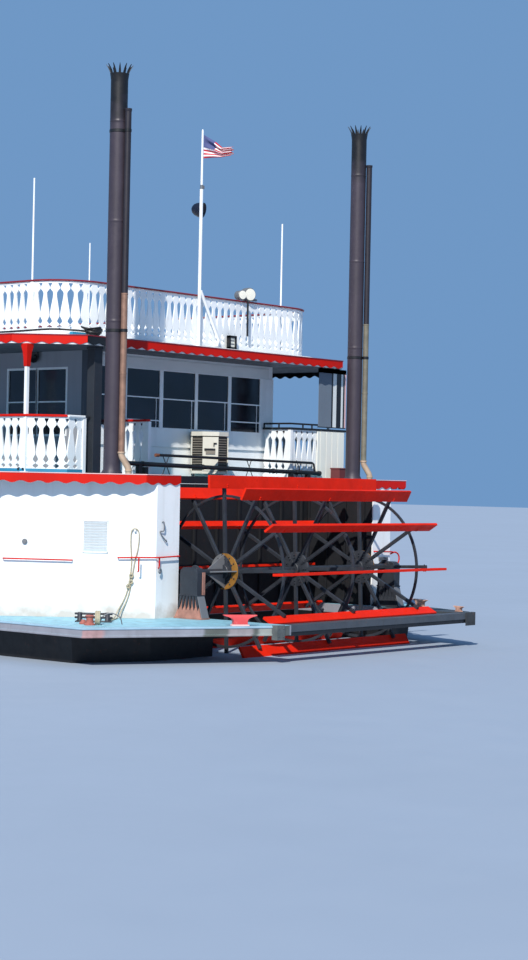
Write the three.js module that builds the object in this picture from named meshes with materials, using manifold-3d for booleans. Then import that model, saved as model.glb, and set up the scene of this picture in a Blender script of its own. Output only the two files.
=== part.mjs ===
// Sternwheel paddle boat. Millimetres, +X to the bow, +Y to port, +Z up.
// The origin is under the middle of the boat, on the plane of the flat bottom.
import * as THREE from 'three';
import { mergeVertices } from 'three/addons/utils/BufferGeometryUtils.js';
import Module from 'manifold-3d';

const wasm = await Module();
wasm.setup();

// Driving dimensions

const GAP = 0.3;                  // between pieces that rest on each other
const RUNNING = 0.9;              // round shafts in their bores
const DRAFT = 1000;               // depth of hull under water
const HALF_LENGTH = 17835;        // from the middle to the bow or to the stern's corner blocks
const DECK_Z = DRAFT + 700;       // top of the main deck
const DECK_THICK = 180;
const FIRST_Z = DRAFT + 3390;     // top of the first deck
const FIRST_THICK = 150;
const ROOF_Z = DRAFT + 6120;      // top of the roof deck
const CANOPY_Z = ROOF_Z - 120;    // top of the canopy's outer edge
const ROOF_UNDER = ROOF_Z - 260;  // underside of roof deck and canopy
const WALL = 80;
const ROOF_RAIL_HEIGHT = 1070;

// The main deck and the hull under it, half breadths and places along the boat
const GUARD_Y = 6400;
const GUARD_BREAK_X = -16040;     // where the guard's stern quarter begins
const BEAM_X = -17815;            // aft face of the stern beam
const BEAM_CORNER_Y = 3058;
const BEAM_WIDE = 250;
const HULL_INSET = 400;
const BOW_SPRING_X = 7600;        // where the sides start to round to the bow
const WELL_Y = 2850;              // half width of the wheel's well in the hull
const WELL_X = -13300;            // forward end of that well
const HULL_END_X = -15950;        // aft end of the hull on both sides of the well

// The port quarter's guard is a wide landing stage; to starboard it is a narrow arm beside the wheel.
const STARBOARD_GUARD = [[-17540, 3340], [-15570, 4025], [-12900, GUARD_Y]];
const PORT_HULL_STERN = [[HULL_END_X, 4600], [-15300, 5950]];
const STARBOARD_HULL_STERN = [[HULL_END_X, 3500], [-12900, 5950]];

// Corner blocks: name, then their two sides across the boat
const FENDERS = [['fender_port', 3050, 3270], ['fender_starboard', -3160, -2820]];

// The paddle wheel
const WHEEL = {
  x: -15600, z: DRAFT + 1567, arms: 12, spiderY: [-2150, 0, 2150],
  rim: 1447, rimBar: 50, armTip: 1690, armWide: 64, armThick: 60, turned: 2.5,
  hub: 348, hubThick: 70, boss: 130, bossHalf: 90, ribReach: 500, ribThick: 24,
  shaft: 55, shaftEnd: 3175, plankIn: 1594, plankOut: 1840, plankThick: 50, plankHalf: 2660,
};

// The bearings' pedestals; cap rows are [half width, height over the shaft's middle].
const PEDESTAL = {
  x: WHEEL.x - 30, y: 3130, halfX: 220, halfY: 105, footX: 350, footY: 125, neck: 445,
  capRows: [[215, 20], [170, 75], [95, 100]],
};

// The deck house on the main deck
const HOUSE = {
  wellY: 3080, sternX: -15230, sternY: 3710, sideX: -12996, sideY: 5570,
  wellX: -13450, bowSideX: 10200, bowY: 3600, bowX: 12600,
};
const DOOR = {
  x: -6000, wide: 960, high: 2050, thick: 45, clear: 10, hingeX: -5050, hingeY: 5560,
  knuckles: [300, 1500], knuckleHigh: 90, knuckle: 9,
};
const LOWER_TOP = FIRST_Z - FIRST_THICK;
const FIRST_OVERHANG = 430;

// The cabin on the first deck
const CABIN = { sternX: -12500, sideY: 2900, bowX: 8600 };
const CABIN_WINDOW = { sideStart: 550, sideWide: 1780, sideStep: 2400 };
const CANOPY = { sternX: -13600, cornerY: 4000, sideX: -12500, sideY: 4950, bowX: 9600, slope: 550 };
const ROOF_RAIL = { sternX: -12920, y: 3960, radius: 900, bowX: 3600 };
const RAIL_CAP = 55;              // half width of a rail's cap

// The first deck's rail: along the sides, across the quarters and a short way over the stern
const FIRST_RAIL = {
  y: 4720, cornerX: -12700, quarterX: -13310, quarterY: 4210, height: 1120, bowX: 8800,
  starboardQuarterY: 4500, portEndY: 3780, starboardEndY: 2580, returnX: CABIN.sternX - 60, portReturnY: 1950,
};
const SLAT = { pitch: 200, wide: 130, thick: 30 };
const COLUMN = { x0: -13420, x1: -13220, y0: 3400, y1: 3620 };

// The pilot house on the roof deck
const PILOT = { x0: 4600, x1: 7600, y: 1500, height: 2250, roof: 120, eaves: 260 };

const PILOT_DOOR = {
  hingeX: PILOT.x0 + 10, hingeY: 420, wide: 840, high: 1990, knuckles: [300, 1450],
};

// Rudders, hung ahead of the wheel
const RUDDER = {
  x: WELL_X - 170, y: 1400, stock: 60, chord: 950, heel: 80, bladeTop: 800, head: 1400,
  gudgeons: [830, 1180], gudgeonHigh: 90, gudgeonOut: 110,
};

// Stacks and their pipes
const STACK = { x: -14112, y: 3797, top: DRAFT + 11012, radius: 165 };
const PIPE = {
  radius: 62, top: DRAFT + 10330, port: [-235, -15], starboard: [-212, -108],
  elbow: [[0, 0, FIRST_Z + 350], [-108, -90, FIRST_Z + 110], [-108, -90, FIRST_Z + GAP]],
};
const CROWN = { spikes: 12, high: 170, foot: 46, reach: 88 };

// Poles on the roof deck; the flagpole and one whip stand against the stern rail
const FLAGPOLE = { x: ROOF_RAIL.sternX - RAIL_CAP - 35 - GAP, y: 160, radius: 35, top: DRAFT + 10633 };

// The flag hangs in folds; a row is the way out from the pole, the two edges' heights and half the depth.
const FLAG = {
  low: DRAFT + 10027,
  rows: [[0, 0, 490, 6], [300, -15, 330, 40], [500, -35, 185, 55], [800, -20, 175, 45]],
};
const WHIPS = [
  { name: 'whip_port', x: -10970, y: 3000, top: DRAFT + 9410, radius: 25 },
  { name: 'whip_middle', x: -9600, y: 0, top: DRAFT + 8500, radius: 20 },
  { name: 'whip_starboard', x: ROOF_RAIL.sternX + RAIL_CAP + 25 + GAP, y: -2730, top: DRAFT + 9007, radius: 25 },
];

// Deck fittings. A kevel row is side, name, way along the quarter wall and distance off it; a pipe of the
// rack is y and z of its port end, then y and z of its starboard end.
const KEVEL = {
  bars: [[80, 345, 20], [148, 345, 20]], post: 250, postRadius: 45, high: 175, plate: [330, 90],
};
const KEVELS = [[1, 'bitts_port', 1047, 1132], [-1, 'bitts_starboard', 2000, 320]];
// Rows are name, place, heading in degrees and size; the flare's rows are height, half length and half width.
const STERN_KEVELS = [
  ['kevel_stern_port', -17350, 3745, 55, 1], ['kevel_stern_starboard', -17420, -3160, -22, 0.55],
];
const FLARE = [[0, 165, 80], [22, 160, 76], [30, 130, 68], [95, 132, 68], [160, 250, 64], [200, 312, 58]];
const PEG = { way: 400, z: DECK_Z + 1643, radius: 20, out: 60 };
const RACK = {
  x: -13405, upper: [1753, DRAFT + 3799, -3238, DRAFT + 3745], upperRadius: 28,
  lower: [2659, DRAFT + 3619, -3532, DRAFT + 3518], lowerRadius: 45, stands: [1500, -1100, -2800],
};

// The rope's points are way along the wall, distance off it and height; it goes up one side and down the other.
const ROPE = {
  radius: 12, stepsEach: 2,
  points: [
    [817, 1089, DECK_Z + 70], [839, 1041, DECK_Z + 62], [830, 950, DECK_Z + 20], [812, 820, DECK_Z + 15],
    [790, 650, DECK_Z + 15], [753, 300, DECK_Z + 16], [742, 190, DECK_Z + 22],
    [725, 110, DECK_Z + 60], [695, 62, DECK_Z + 130], [650, 36, DECK_Z + 220], [583, 24, DECK_Z + 350],
    [530, 20, DECK_Z + 500], [484, 18, DECK_Z + 720], [456, 18, DECK_Z + 1050],
    [468, 20, DECK_Z + 1250], [477, 24, DECK_Z + 1420], [476, 27, DECK_Z + 1560], [465, 30, DECK_Z + 1630],
    [438, 32, DECK_Z + 1664], [400, 32, DECK_Z + 1675], [362, 32, DECK_Z + 1664], [335, 30, DECK_Z + 1630],
    [323, 27, DECK_Z + 1560], [326, 24, DECK_Z + 1420], [350, 20, DECK_Z + 1250], [392, 18, DECK_Z + 1080],
    [418, 18, DECK_Z + 920], [446, 18, DECK_Z + 720], [482, 20, DECK_Z + 500], [526, 24, DECK_Z + 350],
    [585, 36, DECK_Z + 215], [632, 62, DECK_Z + 125], [662, 110, DECK_Z + 58], [680, 190, DECK_Z + 22],
    [692, 300, DECK_Z + 16], [724, 650, DECK_Z + 15], [742, 820, DECK_Z + 15],
    [750, 950, DECK_Z + 20], [755, 1041, DECK_Z + 62], [777, 1089, DECK_Z + 70],
  ],
};

const CONDENSER = { x: -12940, y: -328, half: 400, corner: 245, high: 900 };

// Solids

function solidOf(geometry) {
  geometry.deleteAttribute('normal');
  geometry.deleteAttribute('uv');
  const merged = mergeVertices(geometry, 1e-3);
  return new wasm.Manifold(new wasm.Mesh({
    numProp: 3,
    vertProperties: new Float32Array(merged.attributes.position.array),
    triVerts: new Uint32Array(merged.index.array),
  }));
}

function geometryOf(solid) {
  const mesh = solid.getMesh();
  const geometry = new THREE.BufferGeometry();
  geometry.setAttribute('position', new THREE.BufferAttribute(mesh.vertProperties, 3));
  geometry.setIndex(new THREE.BufferAttribute(mesh.triVerts, 1));
  return geometry;
}

function box(x0, x1, y0, y1, z0, z1) {
  const geometry = new THREE.BoxGeometry(x1 - x0, y1 - y0, z1 - z0);
  geometry.translate((x0 + x1) / 2, (y0 + y1) / 2, (z0 + z1) / 2);
  return solidOf(geometry);
}

function prism(outline, z0, z1) {
  const shape = new THREE.Shape(outline.map(([x, y]) => new THREE.Vector2(x, y)));
  const geometry = new THREE.ExtrudeGeometry(shape, { depth: z1 - z0, bevelEnabled: false, steps: 1 });
  geometry.translate(0, 0, z0);
  return solidOf(geometry);
}

// A turned solid about the vertical through (x, y); profile rows are [radius, z].
function turned(profile, x, y, segments) {
  const points = profile.map(([radius, z]) => new THREE.Vector2(radius, z));
  const geometry = new THREE.LatheGeometry(points, segments);
  geometry.rotateX(Math.PI / 2);
  geometry.translate(x, y, 0);
  return solidOf(geometry);
}

function rodZ(x, y, z0, z1, radius, segments = 12) {
  return turned([[0, z0], [radius, z0], [radius, z1], [0, z1]], x, y, segments);
}

// A straight round bar between two points
function roundBar(from, to, radius, segments = 8) {
  const start = new THREE.Vector3(...from);
  const along = new THREE.Vector3(...to).sub(start);
  const geometry = new THREE.CylinderGeometry(radius, radius, along.length(), segments);
  geometry.rotateX(Math.PI / 2);
  geometry.translate(0, 0, along.length() / 2);
  const side = new THREE.Vector3(0, 0, 1).cross(along);
  if (side.length() < 1e-6) side.set(0, 1, 0);
  side.normalize();
  const forward = along.clone().normalize();
  const third = forward.clone().cross(side);
  geometry.applyMatrix4(new THREE.Matrix4().makeBasis(side, third, forward));
  geometry.translate(...from);
  return solidOf(geometry);
}

function joined(solids) {
  return solids.reduce((sum, solid) => sum.add(solid));
}

// Outlines

// The port half of an outline, from stern to bow, closed by its mirror image.
function mirrored(half) {
  const other = half.filter(([, y]) => y > 0).map(([x, y]) => [x, -y]).reverse();
  return [...half, ...other];
}

// An outline moved inwards by a distance, with its corners mitred; it runs stern, port, bow.
function inset(outline, distance) {
  return outline.map((point, i) => {
    const before = outline[(i + outline.length - 1) % outline.length];
    const after = outline[(i + 1) % outline.length];
    const a = new THREE.Vector2(point[0] - before[0], point[1] - before[1]).normalize();
    const b = new THREE.Vector2(after[0] - point[0], after[1] - point[1]).normalize();
    const normal = new THREE.Vector2(a.y + b.y, -a.x - b.x).normalize();
    const scale = distance / Math.max(0.2, normal.dot(new THREE.Vector2(a.y, -a.x)));
    return [point[0] + normal.x * scale, point[1] + normal.y * scale];
  });
}

function arc(cx, cy, rx, ry, from, to, steps) {
  const points = [];
  for (let i = 0; i <= steps; i += 1) {
    const angle = THREE.MathUtils.degToRad(from + (to - from) * i / steps);
    points.push([cx + rx * Math.cos(angle), cy + ry * Math.sin(angle)]);
  }
  return points;
}

// Scene helpers

const boat = new THREE.Group();

const PAINT = {
  black: { color: 0x14151a, roughness: 0.6, metalness: 0.1 },
  iron: { color: 0x3b3a40, roughness: 0.6, metalness: 0.4 },
  white: { color: 0xf2f2ee, roughness: 0.5, metalness: 0.0 },
  red: { color: 0xd8301c, roughness: 0.5, metalness: 0.0 },
  blue: { color: 0x8fb9c9, roughness: 0.7, metalness: 0.0 },
  grey: { color: 0x77797c, roughness: 0.8, metalness: 0.1 },
  wood: { color: 0x6d6a64, roughness: 0.9, metalness: 0.0 },
  tan: { color: 0x9a6f4a, roughness: 0.6, metalness: 0.3 },
  cream: { color: 0xcfc9b8, roughness: 0.6, metalness: 0.1 },
  rope: { color: 0xb0a890, roughness: 0.9, metalness: 0.0 },
};

function place(name, solid, paint, group = boat) {
  const mesh = new THREE.Mesh(geometryOf(solid), new THREE.MeshStandardMaterial(PAINT[paint]));
  mesh.name = name;
  group.add(mesh);
  return mesh;
}

// Hull and main deck

// Stern rows are [x, y] from the well outwards, y counted from the middle on both sides.
function sternedOutline(portStern, starboardStern, bowReach, halfWide) {
  const bow = arc(BOW_SPRING_X, 0, bowReach, halfWide, 90, -90, 20);
  const starboard = starboardStern.map(([x, y]) => [x, -y]).reverse();
  return [[WELL_X, WELL_Y], ...portStern, ...bow, ...starboard, [WELL_X, -WELL_Y]];
}

function deckOutline() {
  const beam = [[BEAM_X, WELL_Y], [BEAM_X, BEAM_CORNER_Y]];
  return sternedOutline([...beam, [GUARD_BREAK_X, GUARD_Y]], [...beam, ...STARBOARD_GUARD], BOW_REACH, GUARD_Y);
}

function hullOutline(inset, bowReach) {
  const drawnIn = (row) => row.map(([x, y]) => [x + inset * 0.5, Math.max(WELL_Y + 100, y - inset)]);
  const well = [HULL_END_X + inset * 0.5, WELL_Y];
  return sternedOutline([well, ...drawnIn(PORT_HULL_STERN)], [well, ...drawnIn(STARBOARD_HULL_STERN)],
    BOW_REACH - bowReach, GUARD_Y - HULL_INSET - inset);
}

// Levels are [height, outline] rows with equally many points.
function loft(levels) {
  const count = levels[0][1].length;
  const positions = levels.flatMap(([z, outline]) => outline.flatMap(([x, y]) => [x, y, z]));
  const index = [];
  for (let level = 0; level + 1 < levels.length; level += 1) {
    for (let i = 0; i < count; i += 1) {
      const a = level * count + i;
      const b = level * count + (i + 1) % count;
      index.push(a, a + count, b, b, a + count, b + count);
    }
  }
  const contour = levels[0][1].map(([x, y]) => new THREE.Vector2(x, y));
  const top = (levels.length - 1) * count;
  for (const face of THREE.ShapeUtils.triangulateShape(contour, [])) {
    const facesUp = THREE.ShapeUtils.area(face.map((i) => contour[i])) > 0;
    const [a, b, c] = facesUp ? face : [face[0], face[2], face[1]];
    index.push(a, c, b, top + a, top + b, top + c);
  }
  return new wasm.Manifold(new wasm.Mesh({
    numProp: 3,
    vertProperties: new Float32Array(positions),
    triVerts: new Uint32Array(index),
  }));
}

const BOW_REACH = HALF_LENGTH - BOW_SPRING_X;

function makeHull() {
  const top = DECK_Z - DECK_THICK - GAP;
  const shell = loft([
    [0, hullOutline(500, 3300)],
    [500, hullOutline(120, 2100)],
    [top, hullOutline(0, 500)],
  ]);
  place('hull', joined([shell, ...makeGudgeons()]), 'black');
  place('main_deck', prism(deckOutline(), DECK_Z - DECK_THICK, DECK_Z), 'blue');
}

// Rings on the well's forward wall that carry the rudder stocks
function makeGudgeons() {
  const { x, y, stock, gudgeons, gudgeonHigh, gudgeonOut } = RUDDER;
  return [y, -y].flatMap((side) => gudgeons.map((z) => {
    const ring = rodZ(x, side, z, z + gudgeonHigh, gudgeonOut, 16);
    const arm = box(x, WELL_X + 20, side - gudgeonOut * 0.6, side + gudgeonOut * 0.6, z, z + gudgeonHigh);
    return ring.add(arm).subtract(rodZ(x, side, z - 1, z + gudgeonHigh + 1, stock + RUNNING, 24));
  }));
}

function makeSternBeam() {
  const reach = WELL_Y - GAP;
  const beam = box(BEAM_X, BEAM_X + BEAM_WIDE, -reach, reach, DECK_Z - 200, DECK_Z);
  place('stern_beam', beam, 'grey');
  const deckHole = prism(inset(deckOutline(), -GAP), 0, 2 * DECK_Z);
  const beamHole = box(BEAM_X - GAP, BEAM_X + BEAM_WIDE + GAP, -reach - GAP, reach + GAP, 0, 2 * DECK_Z);
  for (const [name, y0, y1] of FENDERS) {
    const block = box(-HALF_LENGTH, BEAM_X + 240, y0, y1, DECK_Z - 255, DECK_Z + 12);
    place(name, block.subtract(deckHole).subtract(beamHole), 'wood');
  }
}

// Paddle wheel

function makeWheel() {
  const group = new THREE.Group();
  group.position.set(WHEEL.x, 0, WHEEL.z);
  group.rotation.y = THREE.MathUtils.degToRad(WHEEL.turned);
  boat.add(group);
  const pieces = [roundBar([0, -WHEEL.shaftEnd, 0], [0, WHEEL.shaftEnd, 0], WHEEL.shaft, 16)];
  for (const y of WHEEL.spiderY) pieces.push(makeSpider(y));
  for (const side of [1, -1]) pieces.push(...makeRibs(side));
  place('wheel_frame', joined(pieces), 'iron', group);

  const step = 360 / WHEEL.arms;
  const length = 2 * WHEEL.plankHalf;
  const wide = WHEEL.plankOut - WHEEL.plankIn;
  const seat = WHEEL.armWide / 2 + GAP + WHEEL.plankThick / 2;
  for (let i = 0; i < WHEEL.arms; i += 1) {
    const geometry = new THREE.BoxGeometry(wide, length, WHEEL.plankThick);
    geometry.translate(WHEEL.plankIn + wide / 2, 0, seat);
    const name = `plank_${String(i + 1).padStart(2, '0')}`;
    const plank = place(name, solidOf(geometry), 'red', group);
    plank.rotation.y = THREE.MathUtils.degToRad(i * step);
  }
}

function makeSpider(y) {
  const half = WHEEL.hubThick / 2;
  const hub = roundBar([0, y - half, 0], [0, y + half, 0], WHEEL.hub, 24);
  const rimOuter = roundBar([0, y - 25, 0], [0, y + 25, 0], WHEEL.rim + WHEEL.rimBar / 2, 36);
  const rimInner = roundBar([0, y - 26, 0], [0, y + 26, 0], WHEEL.rim - WHEEL.rimBar / 2, 36);
  const arms = [];
  for (let i = 0; i < WHEEL.arms; i += 1) {
    const geometry = new THREE.BoxGeometry(WHEEL.armTip, WHEEL.armThick, WHEEL.armWide);
    geometry.translate(WHEEL.armTip / 2, y, 0);
    geometry.rotateY(THREE.MathUtils.degToRad(i * 360 / WHEEL.arms));
    arms.push(solidOf(geometry));
  }
  const boss = roundBar([0, y - WHEEL.bossHalf, 0], [0, y + WHEEL.bossHalf, 0], WHEEL.boss, 20);
  return joined([hub, boss, rimOuter.subtract(rimInner), ...arms]);
}

// Four plates that stiffen an outer hub along the shaft
function makeRibs(side) {
  const half = WHEEL.ribThick / 2;
  const hubY = side * (WHEEL.spiderY[2] + WHEEL.hubThick / 2 - 5);
  const plan = [[WHEEL.shaft - 15, hubY], [WHEEL.hub - 20, hubY], [WHEEL.shaft - 15, hubY + side * WHEEL.ribReach]];
  return [0, 90, 180, 270].map((angle) => (
    prism(side > 0 ? plan : plan.reverse(), -half, half).rotate([0, angle, 0])));
}

function makePedestals() {
  for (const [side, name] of [[1, 'pedestal_port'], [-1, 'pedestal_starboard']]) {
    const { x, y: middle, halfX, halfY, footX, footY, neck } = PEDESTAL;
    const y = middle * side;
    const foot = loft([
      [DECK_Z + GAP, mirroredRect(x, y, footX, footY)],
      [DECK_Z + neck, mirroredRect(x, y, halfX, halfY)],
    ]);
    const housing = makeHousing(x, y);
    const bore = roundBar([WHEEL.x, 0, WHEEL.z], [WHEEL.x, side * (WHEEL.shaftEnd + 5), WHEEL.z],
      WHEEL.shaft + RUNNING, 32);
    place(name, foot.add(housing).subtract(bore), 'iron');
  }
}

// The bearing's housing with its rounded cap, seen along the shaft
function makeHousing(x, y) {
  const { halfX, halfY, neck, capRows } = PEDESTAL;
  const low = DECK_Z + neck - 5;
  const right = capRows.map(([dx, dz]) => [dx, WHEEL.z + dz]);
  const left = right.map(([dx, z]) => [-dx, z]).reverse();
  const side = [[halfX, low], ...right, ...left, [-halfX, low]];
  const solid = prism(side, -halfY, halfY).rotate([90, 0, 0]);
  return solid.translate([x, y, 0]);
}

function mirroredRect(x, y, dx, dy) {
  return [[x - dx, y + dy], [x + dx, y + dy], [x + dx, y - dy], [x - dx, y - dy]];
}

// Lower deck house

const HOUSE_HALF = [
  [HOUSE.wellX, HOUSE.wellY], [HOUSE.sternX, HOUSE.wellY], [HOUSE.sternX, HOUSE.sternY],
  [HOUSE.sideX, HOUSE.sideY], [HOUSE.bowSideX, HOUSE.sideY], [HOUSE.bowX, HOUSE.bowY],
];

function makeLowerHouse() {
  const outer = mirrored(HOUSE_HALF);
  const z0 = DECK_Z + GAP;
  const z1 = LOWER_TOP - GAP;
  const ring = prism(outer, z0, z1).subtract(prism(inset(outer, WALL), z0 - 1, z1 + 1));
  const windows = [];
  for (let x = -11000; x < 9600; x += 2400) {
    const meetsDoor = x < DOOR.x + DOOR.wide + 200 && x + 1300 > DOOR.x - 200;
    if (!meetsDoor) windows.push(box(x, x + 1300, -6000, 6000, DECK_Z + 950, DECK_Z + 2000));
  }
  for (const y of [-2600, -600, 1400]) {
    windows.push(box(HOUSE.bowX - 400, HOUSE.bowX + 400, y, y + 1200, DECK_Z + 950, DECK_Z + 2000));
  }
  const doorway = box(DOOR.x, DOOR.x + DOOR.wide, -6000, 6000, z0 - 1, DECK_Z + DOOR.high);
  const knuckles = [1, -1].flatMap((side) => (
    frameKnuckles(DOOR.hingeX, DOOR.hingeY * side, DECK_Z + DOOR.clear)));
  const open = windows.reduce((sum, hole) => sum.subtract(hole), ring).subtract(doorway);
  const walls = joined([open, ...knuckles]);
  const far = 20000;
  const cut = HOUSE.sideX + 150;
  const bowCut = HOUSE.bowSideX - 150;
  const sections = [
    ['lower_wall_port', box(cut + GAP, bowCut - GAP, 0, far, 0, far)],
    ['lower_wall_starboard', box(cut + GAP, bowCut - GAP, -far, 0, 0, far)],
    ['lower_wall_bow', box(bowCut, far, -far, far, 0, far)],
    ['lower_quarter_port', box(-far, cut, HOUSE.wellY - 100, far, 0, far)],
    ['lower_quarter_starboard', box(-far, cut, -far, 100 - HOUSE.wellY, 0, far)],
    ['lower_wall_well', box(-far, cut, GAP + 100 - HOUSE.wellY, HOUSE.wellY - 100 - GAP, 0, far)],
  ];
  const peg = roundBar(onQuarter(PEG.way, -20, PEG.z), onQuarter(PEG.way, PEG.out, PEG.z), PEG.radius, 12);
  for (const [name, part] of sections) {
    const section = walls.intersect(part);
    place(name, name === 'lower_quarter_port' ? section.add(peg) : section, 'white');
  }
}

// Doors in the sides, hinged at their forward outer corner

function doorLeaf(x0, x1, y, z0, z1, side) {
  const [y0, y1] = [y - DOOR.thick * side, y].sort((a, b) => a - b);
  let leaf = box(x0, x1, y0, y1, z0, z1);
  for (const at of DOOR.knuckles) {
    const low = z0 + at;
    leaf = leaf.subtract(box(x1 - 20, x1 + 20, y - 20, y + 20, low - 1, low + DOOR.knuckleHigh + 1));
    const above = low + DOOR.knuckleHigh + GAP;
    leaf = leaf.add(rodZ(x1, y, above, above + DOOR.knuckleHigh, DOOR.knuckle, 12));
  }
  return leaf;
}

// The frame's half of the hinges, at the same places as doorLeaf has them
function frameKnuckles(x, y, z0) {
  return DOOR.knuckles.map((at) => {
    const low = z0 + at;
    const high = low + DOOR.knuckleHigh;
    const inward = Math.sign(y);
    const [y0, y1] = [y - 9 * inward, y + 8 * inward].sort((a, b) => a - b);
    return rodZ(x, y, low, high, DOOR.knuckle, 12).add(box(x, x + 25, y0, y1, low, high));
  });
}

function makeLowerDoors() {
  for (const [side, name] of [[1, 'door_lower_port'], [-1, 'door_lower_starboard']]) {
    const leaf = doorLeaf(DOOR.x + DOOR.clear, DOOR.hingeX, DOOR.hingeY * side,
      DECK_Z + DOOR.clear, DECK_Z + DOOR.high - DOOR.clear, side);
    place(name, leaf, 'white');
  }
}

// First deck and its cabin

function firstOutline() {
  const out = FIRST_OVERHANG;
  const outline = mirrored([
    [HOUSE.wellX, HOUSE.wellY], [HOUSE.sternX, HOUSE.wellY], [HOUSE.sternX, HOUSE.sternY + 300],
    [HOUSE.sideX, HOUSE.sideY + out], [HOUSE.bowSideX + 100, HOUSE.sideY + out],
    [HOUSE.bowX + 500, HOUSE.bowY + 100],
  ]);
  // The starboard corner stands out farther than the port one.
  outline[outline.length - 3] = [HOUSE.sternX, -HOUSE.sternY - 520];
  return outline;
}

function makeFirstDeck() {
  const slab = prism(firstOutline(), FIRST_Z - FIRST_THICK, FIRST_Z);
  place('first_deck', slab, 'red');
}

const CABIN_HALF = [[CABIN.sternX, CABIN.sideY], [CABIN.bowX, CABIN.sideY]];

function makeCabin() {
  const outer = mirrored(CABIN_HALF);
  const z0 = FIRST_Z + GAP;
  const z1 = ROOF_UNDER - GAP;
  const ring = prism(outer, z0, z1).subtract(prism(inset(outer, WALL), z0 - 1, z1 + 1));
  const sill = FIRST_Z + 750;
  const head = FIRST_Z + 2150;
  const holes = [];
  for (let i = 0; i < 5; i += 1) {
    const y = -2550 + i * 1020;
    holes.push(box(CABIN.sternX - 400, CABIN.sternX + 400, y + 40, y + 980, sill, head));
  }
  const { sideStart, sideWide, sideStep } = CABIN_WINDOW;
  for (let x = CABIN.sternX + sideStart; x < CABIN.bowX - sideWide - 200; x += sideStep) {
    holes.push(box(x, x + sideWide, -3400, 3400, sill, head));
  }
  holes.push(box(CABIN.bowX - 400, CABIN.bowX + 400, -450, 450, z0 - 1, FIRST_Z + 2050));
  const walls = holes.reduce((sum, hole) => sum.subtract(hole), ring);
  const far = 20000;
  const [aft, fore] = [CABIN.sternX + 150, CABIN.bowX - 150];
  const sections = [
    ['cabin_wall_stern', box(-far, aft, -far, far, 0, far)],
    ['cabin_wall_port', box(aft + GAP, fore - GAP, 0, far, 0, far)],
    ['cabin_wall_starboard', box(aft + GAP, fore - GAP, -far, 0, 0, far)],
    ['cabin_wall_bow', box(fore, far, -far, far, 0, far)],
  ];
  for (const [name, part] of sections) place(name, walls.intersect(part), 'white');
}

function canopyOutline(grow) {
  return mirrored([
    [CANOPY.sternX + grow, CANOPY.cornerY - grow], [CANOPY.sideX, CANOPY.sideY - grow],
    [CANOPY.bowX - grow, CANOPY.sideY - grow],
  ]);
}

function makeRoofDeck() {
  place('roof_deck', loft([
    [ROOF_UNDER, canopyOutline(0)],
    [CANOPY_Z, canopyOutline(0)],
    [ROOF_Z, canopyOutline(CANOPY.slope)],
  ]), 'white');
}

// Rails

// The outline of a strip that follows an open line of [x, y] points.
function strip(line, half) {
  const side = (sign) => line.map((point, i) => {
    const before = line[Math.max(0, i - 1)];
    const after = line[Math.min(line.length - 1, i + 1)];
    const a = new THREE.Vector2(point[0] - before[0], point[1] - before[1]).normalize();
    const b = new THREE.Vector2(after[0] - point[0], after[1] - point[1]).normalize();
    const along = a.clone().add(b).normalize();
    const shift = sign * half / Math.max(along.dot(a), along.dot(b));
    return [point[0] - along.y * shift, point[1] + along.x * shift];
  });
  return [...side(1), ...side(-1).reverse()];
}

// A railing along a line of [x, y] points; feet rows are [x, y], and their posts reach postTop.
function railing(line, z, height, feet, postTop) {
  const top = prism(strip(line, RAIL_CAP), z + height - 60, z + height);
  const bottom = prism(strip(line, 25), z + 20, z + 110);
  const posts = feet.map(([x, y]) => box(x - 45, x + 45, y - 45, y + 45, z + GAP, postTop));
  return joined([top, bottom, ...slats(line, z + 60, z + height - 40), ...posts]);
}

// Upright boards at equal steps along each long stretch of the line
function slats(line, z0, z1) {
  const made = [];
  for (let i = 0; i + 1 < line.length; i += 1) {
    const start = new THREE.Vector2(...line[i]);
    const run = new THREE.Vector2(...line[i + 1]).sub(start);
    const count = Math.round(run.length() / SLAT.pitch);
    for (let k = 0; k < count; k += 1) {
      const at = start.clone().addScaledVector(run, (k + 0.5) / count);
      const along = run.clone().normalize().multiplyScalar(SLAT.wide / 2);
      const ends = [[at.x - along.x, at.y - along.y], [at.x + along.x, at.y + along.y]];
      made.push(prism(strip(ends, SLAT.thick / 2), z0, z1));
    }
  }
  return made;
}

function roofRailLine() {
  const { sternX, y, radius, bowX } = ROOF_RAIL;
  const corner = arc(sternX + radius, y - radius, radius, radius, 180, 90, 7);
  const half = [...corner, [bowX, y]];
  return [...half.map(([px, py]) => [px, -py]).reverse(), ...half];
}

function makeRails() {
  const line = roofRailLine();
  const posts = [];
  const first = ROOF_RAIL.sternX + ROOF_RAIL.radius;
  const bays = 6;
  for (let i = 0; i <= bays; i += 1) {
    const x = first + (ROOF_RAIL.bowX - first) * i / bays;
    posts.push([x, ROOF_RAIL.y], [x, -ROOF_RAIL.y]);
  }
  for (const y of [-1500, 0, 1500]) posts.push([ROOF_RAIL.sternX, y]);
  place('roof_rail', railing(line, ROOF_Z, ROOF_RAIL_HEIGHT, posts, ROOF_Z + ROOF_RAIL_HEIGHT - 30), 'white');
  const { returnX, quarterX, starboardEndY, portEndY, portReturnY, height } = FIRST_RAIL;
  const column = box(COLUMN.x0, COLUMN.x1, COLUMN.y0, COLUMN.y1, FIRST_Z + GAP, ROOF_UNDER - GAP);
  makeFirstRail('first_rail_port', 1, [[quarterX, portEndY]], column);
  makeFirstRail('first_rail_starboard', -1, [[returnX, starboardEndY], [quarterX, starboardEndY]]);
  const gate = [[returnX, portReturnY], [quarterX, portReturnY]];
  place('stern_rail_port', railing(gate, FIRST_Z, height, [gate[1]], FIRST_Z + height - 30), 'white');
}

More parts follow.
